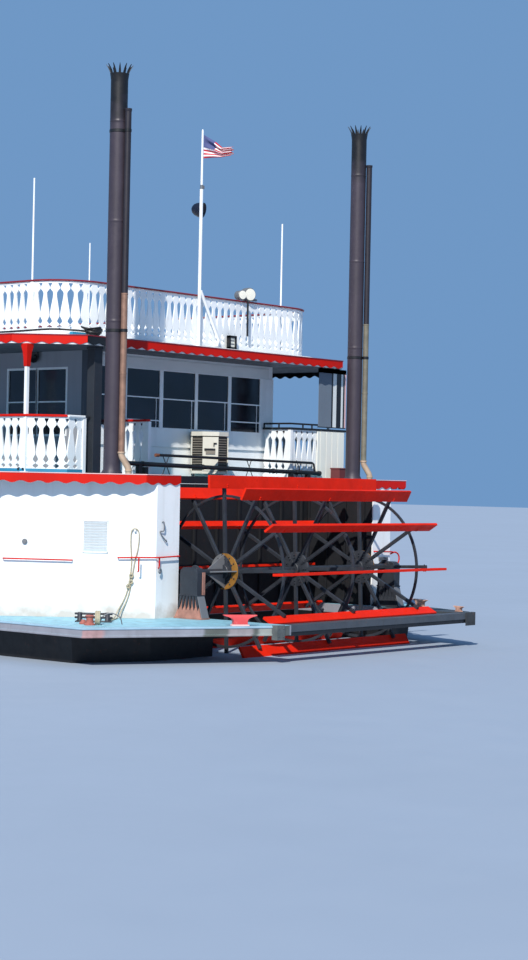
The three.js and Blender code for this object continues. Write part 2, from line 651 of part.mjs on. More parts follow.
// One side of the first deck's rail, with the posts that carry the canopy; start rows are its aft end.
function makeFirstRail(name, side, start, column) {
  const { y, cornerX, quarterX, height, bowX } = FIRST_RAIL;
  const quarterY = side > 0 ? FIRST_RAIL.quarterY : FIRST_RAIL.starboardQuarterY;
  const path = [...start, [quarterX, quarterY], [cornerX, y], [bowX, y]];
  const feet = [[cornerX, y]];
  for (let x = -9500; x < bowX; x += 3050) feet.push([x, y]);
  const turn = ([px, py]) => [px, py * side];
  const rail = railing(path.map(turn), FIRST_Z, height, feet.map(turn), ROOF_UNDER - GAP);
  const [px, py] = turn(start[start.length - 1]);
  const post = box(px - 45, px + 45, py - 45, py + 45, FIRST_Z + GAP, FIRST_Z + height - 30);
  const link = column ? box(px - 25, px + 25, COLUMN.y1 - 20, py, FIRST_Z + height - 60, FIRST_Z + height - 10) : post;
  place(name, joined([rail, post, link, ...(column ? [column] : [])]), 'white');
}

// Pilot house

function makePilotHouse() {
  const { x0, x1, y, height, roof, eaves } = PILOT;
  const z0 = ROOF_Z + GAP;
  const z1 = ROOF_Z + height;
  const outer = [[x0, y], [x1, y], [x1, -y], [x0, -y]];
  let walls = prism(outer, z0, z1).subtract(prism(inset(outer, WALL), z0 - 1, z1 + 1));
  walls = walls.subtract(box(x0 + 300, x1 - 300, -3000, 3000, ROOF_Z + 1000, ROOF_Z + 1900));
  walls = walls.subtract(box(x1 - 300, x1 + 300, -y + 300, y - 300, ROOF_Z + 1000, ROOF_Z + 1900));
  walls = walls.subtract(box(x0 - 300, x0 + 300, -430, 430, z0 - 1, ROOF_Z + 2000));
  const hinges = PILOT_DOOR.knuckles.map((at) => {
    const low = ROOF_Z + DOOR.clear + at;
    const high = low + DOOR.knuckleHigh;
    const { hingeX: hx, hingeY: hy } = PILOT_DOOR;
    return rodZ(hx, hy, low, high, DOOR.knuckle, 12).add(box(hx - 8, hx + 9, hy, hy + 25, low, high));
  });
  place('pilothouse_walls', joined([walls, ...hinges]), 'white');
  place('pilothouse_roof', box(x0 - eaves, x1 + eaves, -y - eaves, y + eaves, z1 + GAP, z1 + roof), 'red');
  place('door_pilothouse', makePilotDoor(), 'white');
}

function makePilotDoor() {
  const { hingeX: hx, hingeY: hy, wide, high } = PILOT_DOOR;
  const z0 = ROOF_Z + DOOR.clear;
  let leaf = box(hx, hx + DOOR.thick, hy - wide, hy, z0, ROOF_Z + high);
  for (const at of PILOT_DOOR.knuckles) {
    const low = z0 + at;
    leaf = leaf.subtract(box(hx - 20, hx + 20, hy - 20, hy + 20, low - 1, low + DOOR.knuckleHigh + 1));
    const above = low + DOOR.knuckleHigh + GAP;
    leaf = leaf.add(rodZ(hx, hy, above, above + DOOR.knuckleHigh, DOOR.knuckle, 12));
  }
  return leaf;
}

// Stacks

function makeStacks() {
  const foot = FIRST_Z + GAP;
  for (const [side, name] of [[1, 'stack_port'], [-1, 'stack_starboard']]) {
    const y = STACK.y * side;
    const { x, top, radius } = STACK;
    const tube = turned([
      [0, foot], [radius + 30, foot], [radius + 30, foot + 60], [radius, foot + 60], [radius, top - 120],
      [radius + 18, top], [radius - 10, top], [radius - 20, top - 60], [0, top - 60],
    ], x, y, 20);
    place(name, joined([tube, ...makeSpikes(x, y, top)]), 'iron');
  }
  for (const [side, name] of [[1, 'exhaust_pipe_port'], [-1, 'exhaust_pipe_starboard']]) {
    const [dx, dy] = side > 0 ? PIPE.port : PIPE.starboard;
    const [x, y] = [STACK.x + dx, STACK.y * side + dy];
    const bends = PIPE.elbow.map(([ex, ey, z]) => [x + ex, y + ey, z]);
    const legs = [rodZ(x, y, bends[0][2], PIPE.top, PIPE.radius, 12)];
    for (let i = 0; i + 1 < bends.length; i += 1) legs.push(roundBar(bends[i], bends[i + 1], PIPE.radius, 12));
    for (const at of bends.slice(0, 2)) {
      const joint = new THREE.SphereGeometry(PIPE.radius + 1, 12, 8);
      joint.translate(...at);
      legs.push(solidOf(joint));
    }
    place(name, joined(legs), 'tan');
  }
}

// The crown's spikes, bent outwards
function makeSpikes(x, y, top) {
  const { spikes, high, foot, reach } = CROWN;
  const rows = [[-30, 4, foot], [high * 0.4, reach * 0.35, foot * 0.8], [high, reach, 8]];
  const made = [];
  for (let i = 0; i < spikes; i += 1) {
    const angle = 2 * Math.PI * (i + 0.5) / spikes;
    const [c, s] = [Math.cos(angle), Math.sin(angle)];
    made.push(loft(rows.map(([z, out, wide]) => {
      const [near, far] = [STACK.radius + out - 6, STACK.radius + out + 8];
      const corner = (r, side) => [x + c * r - s * side * wide / 2, y + s * r + c * side * wide / 2];
      return [top + z, [corner(near, 1), corner(far, 1), corner(far, -1), corner(near, -1)]];
    })));
  }
  return made;
}

// Masts, flag and lights on the roof deck

function makeMasts() {
  const foot = ROOF_Z + GAP;
  const { x: poleX, y: poleY, radius: poleRadius } = FLAGPOLE;
  const pole = rodZ(poleX, poleY, foot, FLAGPOLE.top, poleRadius, 8);
  const brace = roundBar([poleX, poleY, ROOF_Z + 1120], [poleX, poleY - 700, ROOF_Z + 30], 22, 8);
  const braceFoot = rodZ(poleX, poleY - 700, foot, ROOF_Z + 40, 45, 8);
  place('flagpole', joined([pole, brace, braceFoot]), 'white');
  const hoistX = poleX - poleRadius - GAP;
  const rows = FLAG.rows.map(([out, low, high, half]) => [-1, 1].flatMap((side) => (
    [low, high].map((z) => [hoistX - out, poleY + side * half, FLAG.low + z]))));
  const parts = rows.slice(1).map((row, i) => wasm.Manifold.hull([...rows[i], ...row]));
  place('flag', joined(parts), 'red');
  for (const { name, x, y, top, radius } of WHIPS) place(name, rodZ(x, y, foot, top, radius, 8), 'white');
}

// The cooling unit behind the cabin, square with wide cut corners
function makeCondenser() {
  const { x, y, half, corner, high } = CONDENSER;
  const side = half - corner;
  const outline = [
    [x - half, y - side], [x - half, y + side], [x - side, y + half], [x + side, y + half],
    [x + half, y + side], [x + half, y - side], [x + side, y - half], [x - side, y - half],
  ];
  place('condenser', prism(outline, FIRST_Z + GAP, FIRST_Z + high), 'cream');
}

function makeEngine() {
  place('engine_block', box(-9000, -6400, -700, 700, DECK_Z + GAP, DECK_Z + 1500), 'grey');
}

// Rudders hang on gudgeons on the forward wall of the well

function makeRudders() {
  for (const [side, name] of [[1, 'rudder_port'], [-1, 'rudder_starboard']]) {
    const y = RUDDER.y * side;
    const stock = rodZ(RUDDER.x, y, RUDDER.heel, RUDDER.head, RUDDER.stock, 12);
    const blade = box(RUDDER.x - RUDDER.chord, RUDDER.x, y - 30, y + 30, RUDDER.heel, RUDDER.bladeTop);
    place(name, stock.add(blade), 'black');
  }
}

// Kevels on the port and starboard quarters: two bars on two posts, along the slanting wall

const QUARTER = quarterAxes();

function quarterAxes() {
  const start = new THREE.Vector2(HOUSE.sternX, HOUSE.sternY);
  const along = new THREE.Vector2(HOUSE.sideX, HOUSE.sideY).sub(start).normalize();
  return { start, along, outward: new THREE.Vector2(-along.y, along.x) };
}

// A point by way along the port quarter wall from aft, distance off it and height
function onQuarter(way, off, z) {
  const { start, along, outward } = QUARTER;
  const at = start.clone().addScaledVector(along, way).addScaledVector(outward, off);
  return [at.x, at.y, z];
}

function makeKevels() {
  for (const [side, name, way, off] of KEVELS) {
    const at = (along, z) => {
      const [x, y] = onQuarter(way + along, off, 0);
      return [x, y * side, z];
    };
    const bars = KEVEL.bars.map(([z, half, radius]) => roundBar(at(-half, DECK_Z + z), at(half, DECK_Z + z), radius, 10));
    const posts = [-KEVEL.post, KEVEL.post].map((along) => {
      const [x, y] = at(along, 0);
      return rodZ(x, y, DECK_Z + GAP, DECK_Z + KEVEL.high, KEVEL.postRadius, 12);
    });
    const corners = [[-1, -1], [1, -1], [1, 1], [-1, 1]].map(([a, b]) => {
      const [x, y] = onQuarter(way + a * KEVEL.plate[0], off + b * KEVEL.plate[1], 0);
      return [x, y * side];
    });
    const plate = prism(side > 0 ? corners : corners.reverse(), DECK_Z + GAP, DECK_Z + 20);
    place(name, joined([plate, ...posts, ...bars]), 'iron');
  }
}

// Flared kevels at the guard's corners, each a stem that widens to a long head
function makeSternKevels() {
  for (const [name, x, y, heading, size] of STERN_KEVELS) {
    const levels = FLARE.map(([z, long, wide]) => {
      const { x: dx, y: dy } = new THREE.Vector2(1, 0).rotateAround(new THREE.Vector2(), THREE.MathUtils.degToRad(heading));
      const corners = [[1, 1], [1, -1], [-1, -1], [-1, 1]];
      return [DECK_Z + GAP + z * size, corners.map(([a, b]) => (
        [x + (dx * a * long - dy * b * wide) * size, y + (dy * a * long + dx * b * wide) * size]))];
    });
    place(name, loft(levels), 'red');
  }
}

// The doubled mooring rope: from the kevel over the deck, up the wall, over a peg and back

function makeRope() {
  const points = ROPE.points.map(([way, off, z]) => new THREE.Vector3(...onQuarter(way, off, z)));
  const curve = new THREE.CatmullRomCurve3(points, false, 'catmullrom', 0.5);
  // The steps follow the route's points, which lie closer together where it bends.
  curve.getPointAt = (way) => curve.getPoint(way);
  curve.getTangentAt = (way) => curve.getTangent(way);
  const section = new THREE.Shape();
  for (let i = 0; i < 8; i += 1) {
    const angle = 2 * Math.PI * i / 8;
    const corner = [ROPE.radius * Math.cos(angle), ROPE.radius * Math.sin(angle)];
    if (i === 0) section.moveTo(...corner);
    else section.lineTo(...corner);
  }
  const steps = ROPE.stepsEach * (points.length - 1);
  const geometry = new THREE.ExtrudeGeometry(section, { steps, bevelEnabled: false, extrudePath: curve });
  place('rope_port', solidOf(geometry), 'rope');
}

// Pipes lying over stands on the first deck's stern edge
function makePipeRack() {
  const { x, upper, lower, stands } = RACK;
  const bar = ([y0, z0, y1, z1], radius) => roundBar([x, y0, z0], [x, y1, z1], radius, 12);
  const parts = [bar(upper, RACK.upperRadius), bar(lower, RACK.lowerRadius)];
  for (const y of stands) {
    parts.push(roundBar([x - 20, y - 90, FIRST_Z + 10], [x, y + 110, FIRST_Z + 400], 18, 8));
    parts.push(roundBar([x + 20, y + 90, FIRST_Z + 10], [x, y - 60, FIRST_Z + 370], 18, 8));
    parts.push(box(x - 44, x + 44, y - 130, y + 130, FIRST_Z + GAP, FIRST_Z + 14));
  }
  place('pipe_rack', joined(parts), 'iron');
}

makeHull();
makeSternBeam();
makeWheel();
makePedestals();
makeLowerHouse();
makeLowerDoors();
makeFirstDeck();
makeCabin();
makeRoofDeck();
makeRails();
makePilotHouse();
makeStacks();
makeMasts();
makeCondenser();
makeEngine();
makeRudders();
makeKevels();
makeSternKevels();
makeRope();
makePipeRack();

export default boat;
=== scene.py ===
"""Looks of the sternwheel paddle boat. Metres, +X to the bow, +Y to port, +Z up."""
from math import atan2, cos, hypot, pi, radians, sin, tau

import bmesh
import bpy
from mathutils import Matrix, Vector


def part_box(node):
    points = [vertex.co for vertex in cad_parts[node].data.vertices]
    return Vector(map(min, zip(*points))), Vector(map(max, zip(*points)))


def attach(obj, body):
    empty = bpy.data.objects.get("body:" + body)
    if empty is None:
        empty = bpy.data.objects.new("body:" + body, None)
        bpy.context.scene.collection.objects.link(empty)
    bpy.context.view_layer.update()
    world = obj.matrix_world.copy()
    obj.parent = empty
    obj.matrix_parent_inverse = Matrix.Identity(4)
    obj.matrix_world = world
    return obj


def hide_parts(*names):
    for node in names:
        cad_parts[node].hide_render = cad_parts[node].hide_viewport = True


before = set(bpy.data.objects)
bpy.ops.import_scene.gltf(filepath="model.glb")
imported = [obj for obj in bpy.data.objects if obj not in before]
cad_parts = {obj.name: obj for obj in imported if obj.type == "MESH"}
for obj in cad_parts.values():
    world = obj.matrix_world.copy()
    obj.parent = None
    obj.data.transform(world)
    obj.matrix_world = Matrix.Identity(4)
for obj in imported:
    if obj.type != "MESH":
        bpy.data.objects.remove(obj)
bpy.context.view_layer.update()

# Heights: the water's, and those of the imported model's decks
WATER = 1.0
DECK, FIRST, ROOF = (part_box(name)[1].z for name in ("main_deck", "first_deck", "roof_deck"))
FIRST_UNDER, SOFFIT = (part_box(name)[0].z for name in ("first_deck", "roof_deck"))
CANOPY_TOP = ROOF - 0.12

# Places along and across the boat
SIDES = ((1, "port"), (-1, "starboard"))
UP = Vector((0, 0, 1))
BEAM_X, BEAM_END_Y, BLOCK_X, GUARD_Y = -17.815, 3.058, -17.835, 6.4
HOUSE_STERN_X, HOUSE_WELL_Y, HOUSE_WELL_X = -15.23, 3.08, -13.45
QUARTER_START, QUARTER_END = Vector((HOUSE_STERN_X, 3.71, 0)), Vector((-12.996, 5.57, 0))
CABIN_X, CABIN_Y = -12.5, 2.9
FIRST_RAIL_X, FIRST_RAIL_TALL = -13.31, 1.12
WHEEL, WHEEL_TURN, ARM_HALF = Vector((-15.6, 0, WATER + 1.567)), 2.5, 0.032
STACK_X, STACK_Y, STACK_R = -14.112, 3.797, 0.165
PIPE_R, PIPE_OFF, PIPE_SEAM = 0.062, {1: (-0.235, -0.015), -1: (-0.212, -0.108)}, 7.81
FLAGPOLE = (-13.0103, 0.16)
CONDENSER = (-12.94, -0.328)
RACK_X = -13.405


# Colours and materials; a colour is given as display values of 0 to 255

def srgb(red, green, blue):
    """Display values as linear RGBA."""
    def linear(value):
        value /= 255
        return value / 12.92 if value <= 0.04045 else ((value + 0.055) / 1.055) ** 2.4
    return (linear(red), linear(green), linear(blue), 1.0)


class Nodes:
    """Short words for a material's nodes; the pattern follows the object's own coordinates."""

    def __init__(self, name):
        self.material = bpy.data.materials.new(name)
        self.material.use_nodes = True
        self.tree = self.material.node_tree
        self.shader = self.tree.nodes["Principled BSDF"]
        self.place = self.node("TexCoord").outputs["Object"]

    def node(self, kind, inputs=None, **values):
        made = self.tree.nodes.new("ShaderNode" + kind)
        for key, value in values.items():
            setattr(made, key, value)
        return self.feed(made, inputs or {})

    def feed(self, made, inputs):
        """Gives a node's inputs their numbers, colours or links."""
        for key, value in inputs.items():
            if isinstance(value, bpy.types.NodeSocket):
                self.tree.links.new(value, made.inputs[key])
            else:
                made.inputs[key].default_value = value
        return made

    def math(self, operation, a, b=0.0):
        return self.node("Math", {0: a, 1: b}, operation=operation).outputs[0]

    def noise(self, scale, detail=3.0, stretch=(1, 1, 1), rough=0.55):
        mapping = self.node("Mapping", {"Scale": stretch, "Vector": self.place})
        return self.node("TexNoise", {"Vector": mapping.outputs[0], "Scale": scale, "Detail": detail,
                                      "Roughness": rough}).outputs["Fac"]

    def ramp(self, value, low, high, to_low=0.0, to_high=1.0):
        return self.node("MapRange", {"Value": value, "From Min": low, "From Max": high, "To Min": to_low,
                                      "To Max": to_high}).outputs[0]

    def mix(self, amount, first, second):
        colours = {"Factor": amount, "A": first, "B": second}
        return self.node("Mix", colours, data_type="RGBA").outputs["Result"]

    def axis(self, index, vector=None):
        return self.node("SeparateXYZ", {0: vector or self.place}).outputs[index]

    def worn(self, colour, vary, scale):
        """A colour with slow changes of tone."""
        full = srgb(*colour)
        dark = tuple(c * vary for c in full[:3]) + (1.0,)
        return self.mix(self.ramp(self.noise(scale), 0.32, 0.68), dark, full)

    def surface(self, inputs, height, strength, distance=0.01):
        """Gives the shader its inputs and a bump, and returns the material."""
        bump = self.node("Bump", {"Strength": strength, "Distance": distance, "Height": height})
        self.feed(self.shader, {**inputs, "Normal": bump.outputs[0]})
        return self.material


RUST, GRIME, SOOT = (120, 66, 38), (92, 84, 76), (22, 22, 26)


def paint(name, colour, rough=0.5, metal=0.0, vary=0.82, scale=1.3, streak=0.0, runs=GRIME, spots=0.0,
          flecks=RUST, fleck_scale=7.0, bump=0.12, bump_scale=55.0, zones=(), shine=0.5):
    """Worn paint: slow changes of tone, runs down the surface, flecks, and zones of other colours.

    A zone is (function of the nodes that gives its amount, colour)."""
    n = Nodes(name)
    shade = n.worn(colour, vary, scale)
    for amount, zone_colour in zones:
        shade = n.mix(amount(n), shade, n.worn(zone_colour, vary, scale * 1.7))
    if streak:
        shade = n.mix(n.ramp(n.noise(5.0, 4.0, (1, 1, 0.09)), 0.52, 0.78, 0.0, streak), shade, srgb(*runs))
    if spots:
        marks = n.noise(fleck_scale, 8.0, rough=0.7)
        shade = n.mix(n.ramp(marks, 0.6, 0.7, 0.0, spots), shade, srgb(*flecks))
    gloss = n.ramp(n.noise(scale * 6, 5.0), 0.3, 0.7, rough - 0.08, rough + 0.1)
    return n.surface({"Base Color": shade, "Roughness": gloss, "Metallic": metal,
                      "Specular IOR Level": shine}, n.noise(bump_scale, 4.0), bump)


def above(height, soft, sign=1):
    """A zone's amount: all above a height, or below it where sign is -1, with a soft broken edge."""
    def amount(n):
        edge = n.math("ADD", n.axis(2), n.ramp(n.noise(3.0, 5.0), 0.3, 0.7, -soft, soft))
        return n.ramp(edge, height - soft * sign, height + soft * sign)
    return amount


def within(index, low, high, soft=0.01):
    """A zone's amount: 1 between two places along one axis."""
    def amount(n):
        place = n.axis(index)
        return n.math("MULTIPLY", n.ramp(place, low - soft, low), n.ramp(place, high + soft, high))
    return amount


def both(first, second):
    """Two amounts multiplied; the second may be a number."""
    return lambda n: n.math("MULTIPLY", first(n), second(n) if callable(second) else second)


def patch(x0, x1, y0, y1, soft=0.01):
    return both(within(0, x0, x1, soft), within(1, y0, y1))


def facing(index, sign=1):
    """A zone's amount: 1 where the surface faces along an axis, or against it."""
    return lambda n: n.ramp(n.axis(index, n.node("NewGeometry").outputs["Normal"]), 0.5 * sign, 0.7 * sign)


UPWARD, DOWNWARD, AFT = facing(2), facing(2, -1), facing(0, -1)
STARBOARD_ARM = (-6.5, -2.7)
ARM_GREY = (66, 74, 80)

WHITE = paint("white_paint", (244, 246, 246), 0.42, vary=0.9, streak=0.16, spots=0.10, runs=(170, 165, 155),
              bump=0.08)
RED = paint("red_paint", (206, 22, 6), 0.55, vary=0.84, streak=0.1, runs=(110, 10, 14), shine=0.2)
PLANK = paint("plank_red_paint", (230, 36, 4), 0.6, vary=0.8, scale=2.2, spots=0.35, flecks=(110, 12, 8),
              bump=0.2, bump_scale=30, shine=0.2)
IRON = paint("iron_black_paint", (62, 62, 68), 0.5, 0.25, vary=0.7, scale=3, spots=0.3, bump=0.2)
WHEEL_IRON = paint("wheel_iron_paint", (52, 56, 64), 0.5, 0.1, vary=0.6, scale=3, spots=0.25, bump=0.2)
HOUSING_PAINT = paint("bearing_housing_paint", (50, 54, 62), 0.5, 0.15, vary=0.7, scale=4, spots=0.2,
                      flecks=(110, 66, 52))
FOOT_PAINT = paint("bearing_foot_paint", (176, 124, 108), 0.6, 0.1, vary=0.6, scale=7, spots=0.75,
                   flecks=(66, 50, 48), fleck_scale=16, streak=0.3)
FADED_RED = paint("faded_red_paint", (222, 78, 80), 0.55, vary=0.82, scale=5, spots=0.2,
                  flecks=(236, 180, 170))
FADED_TAN = paint("faded_tan_paint", (224, 176, 156), 0.6, vary=0.6, scale=9, spots=0.6, flecks=(110, 70, 60))
TEAL = paint("kick_strip_paint", (52, 138, 172), 0.5, vary=0.75, spots=0.2, flecks=(30, 60, 80))
# Cabin side walls: light grey, with the shade under the canopy painted into it
SHADE_WALL = paint("side_wall_painted_shade", (150, 153, 160), 0.5, vary=0.88, scale=0.7, streak=0.2)
SCREEN = paint("screen_cloth", (110, 122, 136), 0.7, vary=0.9)
BOARD = paint("quarter_board_paint", (244, 242, 230), 0.5, vary=0.94, streak=0.1)
BRICK = paint("locker_red_paint", (112, 50, 50), 0.6, vary=0.7, spots=0.4, flecks=(70, 34, 34))
PIPE_GREY = paint("olive_pipe_paint", (128, 122, 106), 0.5, 0.1, vary=0.7, scale=5, spots=0.4,
                  flecks=(72, 66, 58))
STACK_DARK = paint("pipe_top_paint", (42, 38, 46), 0.5, 0.1, vary=0.8, scale=3)
LOUVRE = paint("louvre_paint", (136, 128, 116), 0.6, vary=0.8)
# Dark colour of the condenser's body behind the slats: painted shade between them
LOUVRE_GAP_SHADE = paint("louvre_painted_shade", (74, 70, 64), 0.7, vary=0.8)
# Near black for the walls round the wheel well
WELL = paint("well_near_black", (15, 17, 24), 0.7, vary=0.6, spots=0.1)
BLACK = paint("black_paint", (26, 27, 31), 0.45, 0.1, vary=0.7, spots=0.12)
HULL = paint("hull_black_paint", (22, 23, 27), 0.5, 0.1, vary=0.7, streak=0.3, runs=(60, 44, 36), spots=0.2,
             bump=0.25, bump_scale=6)
BEAM = paint("beam_grey_paint", (80, 86, 94), 0.55, 0.15, vary=0.75, scale=3, spots=0.3, streak=0.2)
FENDER_DARK = paint("dark_fender_timber", (60, 64, 68), 0.85, vary=0.6, scale=5, spots=0.4, bump=0.7,
                    bump_scale=22)
FENDER = paint("fender_timber", (100, 106, 106), 0.85, vary=0.6, scale=5, spots=0.4, bump=0.7, bump_scale=22)
PIPE = paint("pipe_paint", (164, 126, 106), 0.42, 0.35, vary=0.62, scale=6, spots=0.5, flecks=(92, 62, 52))
ELBOW = paint("elbow_paint", (196, 166, 140), 0.5, 0.1, vary=0.75, scale=5, spots=0.4, flecks=(128, 96, 74))
CREAM = paint("cream_paint", (216, 212, 198), 0.5, vary=0.88, spots=0.12, streak=0.15)
GREY = paint("grey_paint", (120, 122, 126), 0.5, 0.1, vary=0.8)
RUSTY = paint("rusty_iron", (150, 92, 66), 0.75, 0.2, vary=0.55, scale=7, spots=0.6, flecks=(84, 50, 38),
              bump=0.5, bump_scale=40)
FADED_RUST = paint("faded_rust_iron", (182, 104, 92), 0.7, vary=0.6, scale=7, spots=0.5, flecks=(120, 60, 50),
                   bump=0.4, bump_scale=40)
PALE_BLUE = paint("pale_board_paint", (225, 228, 226), 0.5, vary=0.93)
# A rust colour made bright as painted sunlight on an outer hub's face
SUNLIT_RUST = paint("sunlit_rust_paint", (186, 132, 62), 0.45, 0.5, vary=0.7, scale=9, spots=0.4)
LAMP = paint("lamp_glass", (240, 236, 220), 0.15, vary=0.95, bump=0.02)
DARK_RED = paint("cap_red_paint", (138, 22, 36), 0.4, vary=0.85)
ROPE = paint("rope_fibre", (196, 184, 156), 0.9, vary=0.7, scale=9, spots=0.2, flecks=GRIME, bump=0.6,
             bump_scale=240)
NAVY = paint("horn_paint", (14, 22, 44), 0.45, 0.1, vary=0.7, spots=0.2, flecks=(70, 60, 56))
PINK_LIP = paint("weathered_lip_paint", (236, 190, 188), 0.5, vary=0.85, spots=0.2)
WALL = paint("white_wall_paint", (246, 247, 247), 0.4, vary=0.91, scale=0.7, streak=0.2, runs=(176, 168, 156),
             spots=0.06, bump=0.1, bump_scale=18,
             zones=[(both(above(DECK + 0.16, 0.14, -1), 0.6), (160, 140, 118)),
                    # the dark patch at the port end of the cabin's stern wall is painted shade
                    (patch(-12.6, -12.2, 2.72, 3.1), (62, 68, 78))])
DECK_PAINT = paint("deck_paint", (152, 153, 163), 0.6, 0.1, vary=0.78, scale=2.4, spots=0.3,
                   flecks=(120, 112, 116), streak=0.3, bump=0.35, bump_scale=14,
                   zones=[(patch(-16.2, -16.04, 5.7, 6.5, 0.04), (186, 148, 148)),
                          (patch(-17.9, -17.11, 2.9, 4.5, 0.03), (98, 102, 98)),
                          (patch(-17.52, -17.33, 3.5, 4.1, 0.03), (158, 150, 152)),
                          (patch(-17.74, -17.6, 2.9, 3.6, 0.03), (160, 164, 158)),
                          (UPWARD, (150, 203, 218)), (patch(-18.5, -15.7, *STARBOARD_ARM), ARM_GREY)])
RIM = paint("deck_rim_paint", (160, 192, 210), 0.6, vary=0.8, scale=4, spots=0.3, flecks=(120, 130, 140),
            zones=[(within(1, *STARBOARD_ARM), ARM_GREY)])
FIRST_PAINT = paint("first_deck_paint", (205, 30, 34), 0.5, vary=0.85,
                    zones=[(patch(-15.2, 0, -3.1, 3.1), (24, 26, 32)), (UPWARD, (60, 142, 170)),
                           (DOWNWARD, (120, 122, 128))])
ROOF_PAINT = paint("roof_deck_paint", (225, 227, 228), 0.6, vary=0.88,
                   # Undersides are darker grey; the near black on the undersides to starboard is painted
                   # shade
                   zones=[(DOWNWARD, (96, 98, 104)), (both(DOWNWARD, within(1, -5.2, -2.95)), (34, 36, 40))])
STACK = paint("stack_paint", (66, 58, 68), 0.5, 0.1, vary=0.8, scale=2, streak=0.35, runs=(40, 34, 40),
              zones=[(above(WATER + 10.25, 0.3), SOOT)])
# The column's aft faces are a little darker: painted shade
COLUMN = paint("column_paint", (44, 48, 54), 0.5, 0.1, vary=0.75, spots=0.2, zones=[(AFT, (38, 42, 50))])


def glass_material():
    n = Nodes("dark_window_glass")
    tone = n.mix(n.ramp(n.noise(0.9), 0.35, 0.7), srgb(8, 10, 15), srgb(26, 34, 46))
    gloss = n.ramp(n.noise(2.5), 0.3, 0.7, 0.06, 0.2)
    return n.surface({"Base Color": tone, "Roughness": gloss}, n.noise(1.6, 1.0), 0.12)


def flag_material():
    """Thirteen stripes and a plain canton, laid out by the cloth's UV map."""
    n = Nodes("flag_cloth")
    uv = n.node("TexCoord").outputs["UV"]
    u, v = n.axis(0, uv), n.axis(1, uv)
    stripe = n.math("MODULO", n.math("FLOOR", n.math("MULTIPLY", v, 13.0)), 2.0)
    stripes = n.mix(stripe, srgb(190, 30, 44), srgb(244, 236, 236))
    canton = n.math("MULTIPLY", n.math("LESS_THAN", u, 0.4), n.math("GREATER_THAN", v, 6 / 13))
    shade = n.mix(canton, stripes, srgb(78, 84, 128))
    return n.surface({"Base Color": shade, "Roughness": 0.8}, n.noise(400, 2.0), 0.1, 0.001)


GLASS, FLAG_CLOTH = glass_material(), flag_material()


# Shapes

def corners(a, b):
    """The corners of a rectangle of half sizes a and b, in order."""
    return [(-a, -b), (a, -b), (a, b), (-a, b)]


class Shape:
    """Points and faces of one piece, gathered from simple solids, each face with a paint number."""

    def __init__(self):
        self.points, self.faces, self.paints, self.paint = [], [], [], 0

    def add(self, points, faces):
        start = len(self.points)
        self.points += [Vector(p) for p in points]
        self.faces += [[start + i for i in face] for face in faces]
        self.paints += [self.paint] * len(faces)

    def loft(self, rings, closed=False):
        """A skin over rings of equally many points, closed to a loop or with a face at each end."""
        count, total = len(rings[0]), len(rings)
        faces = []
        for row in range(total if closed else total - 1):
            low, high = row * count, (row + 1) % total * count
            for i in range(count):
                j = (i + 1) % count
                faces.append([low + i, low + j, high + j, high + i])
        if not closed:
            faces += [list(range(count))[::-1], [(total - 1) * count + i for i in range(count)]]
        self.add([p for ring in rings for p in ring], faces)

    def prism(self, outline, z0, z1, turn=Matrix()):
        self.loft([[turn @ Vector((x, y, z)) for x, y in outline] for z in (z0, z1)])

    def box(self, low, high, turn=Matrix()):
        (x0, y0, z0), (x1, y1, z1) = low, high
        self.prism([(x0, y0), (x1, y0), (x1, y1), (x0, y1)], z0, z1, turn)

    def boxes(self, rows, turn=Matrix()):
        """Boxes from rows of (x0, x1, y0, y1, z0, z1), with a paint number where there is a seventh value."""
        for x0, x1, y0, y1, z0, z1, *number in rows:
            self.paint = number[0] if number else self.paint
            self.box((x0, y0, z0), (x1, y1, z1), turn)

    def post(self, x, y, half, z0, z1):
        self.box((x - half, y - half, z0), (x + half, y + half, z1))

    def tube(self, points, radius, sides=10, closed=False):
        """A round bar along points; radius is one number or one for each point."""
        points = [Vector(p) for p in points]
        radii = radius if isinstance(radius, (list, tuple)) else [radius] * len(points)
        self.loft(circles(points, radii, sides, closed), closed)

    def bent(self, points, radius, sides=8, steps=6, closed=False):
        """A round bar along a smooth curve through points."""
        self.tube(smooth_path(points, steps), radius, sides, closed)

    def turned(self, profile, centre, axis=UP, sides=24):
        """A solid of revolution; profile rows are (radius, distance along the axis)."""
        axis, centre = Vector(axis).normalized(), Vector(centre)
        side = axis.orthogonal().normalized()
        other = axis.cross(side)
        self.loft([[centre + axis * at + (side * cos(tau * i / sides) + other * sin(tau * i / sides)) * radius
                    for i in range(sides)] for radius, at in profile])

    def collar(self, centre, axis, edge, full, half, flat, sides=24):
        """A ring or drum whose radius falls from full to edge between flat and half off its middle."""
        self.turned([(edge, -half), (full, -flat), (full, flat), (edge, half)], centre, axis, sides)

    def bolt(self, centre, axis=UP, radius=0.014, height=0.01):
        """A six-sided head with a small dome."""
        self.turned([(radius, 0), (radius, height), (radius * 0.5, height * 1.5)], centre, axis, 6)

    def sweep(self, line, section, z=0.0, step=None):
        """A section of (out, up) points, or a function of the way gone that gives it, along (x, y) points."""
        rings = []
        for x, y, nx, ny, way in stations(line, step):
            outline = section(way) if callable(section) else section
            rings.append([(x + nx * out, y + ny * out, z + up) for out, up in outline])
        self.loft(rings)


def circles(points, radii, sides, closed=False):
    """Circles across a path, carried along it without twist."""
    count = len(points)
    tangents = []
    for i in range(count):
        before = points[(i - 1) % count] if closed or i else points[i]
        after = points[(i + 1) % count] if closed or i + 1 < count else points[i]
        tangents.append((after - before).normalized())
    side = tangents[0].orthogonal().normalized()
    made = []
    for point, tangent, radius in zip(points, tangents, radii):
        side = (side - tangent * side.dot(tangent)).normalized()
        other = tangent.cross(side)
        made.append([point + (side * cos(tau * i / sides) + other * sin(tau * i / sides)) * radius
                     for i in range(sides)])
    return made


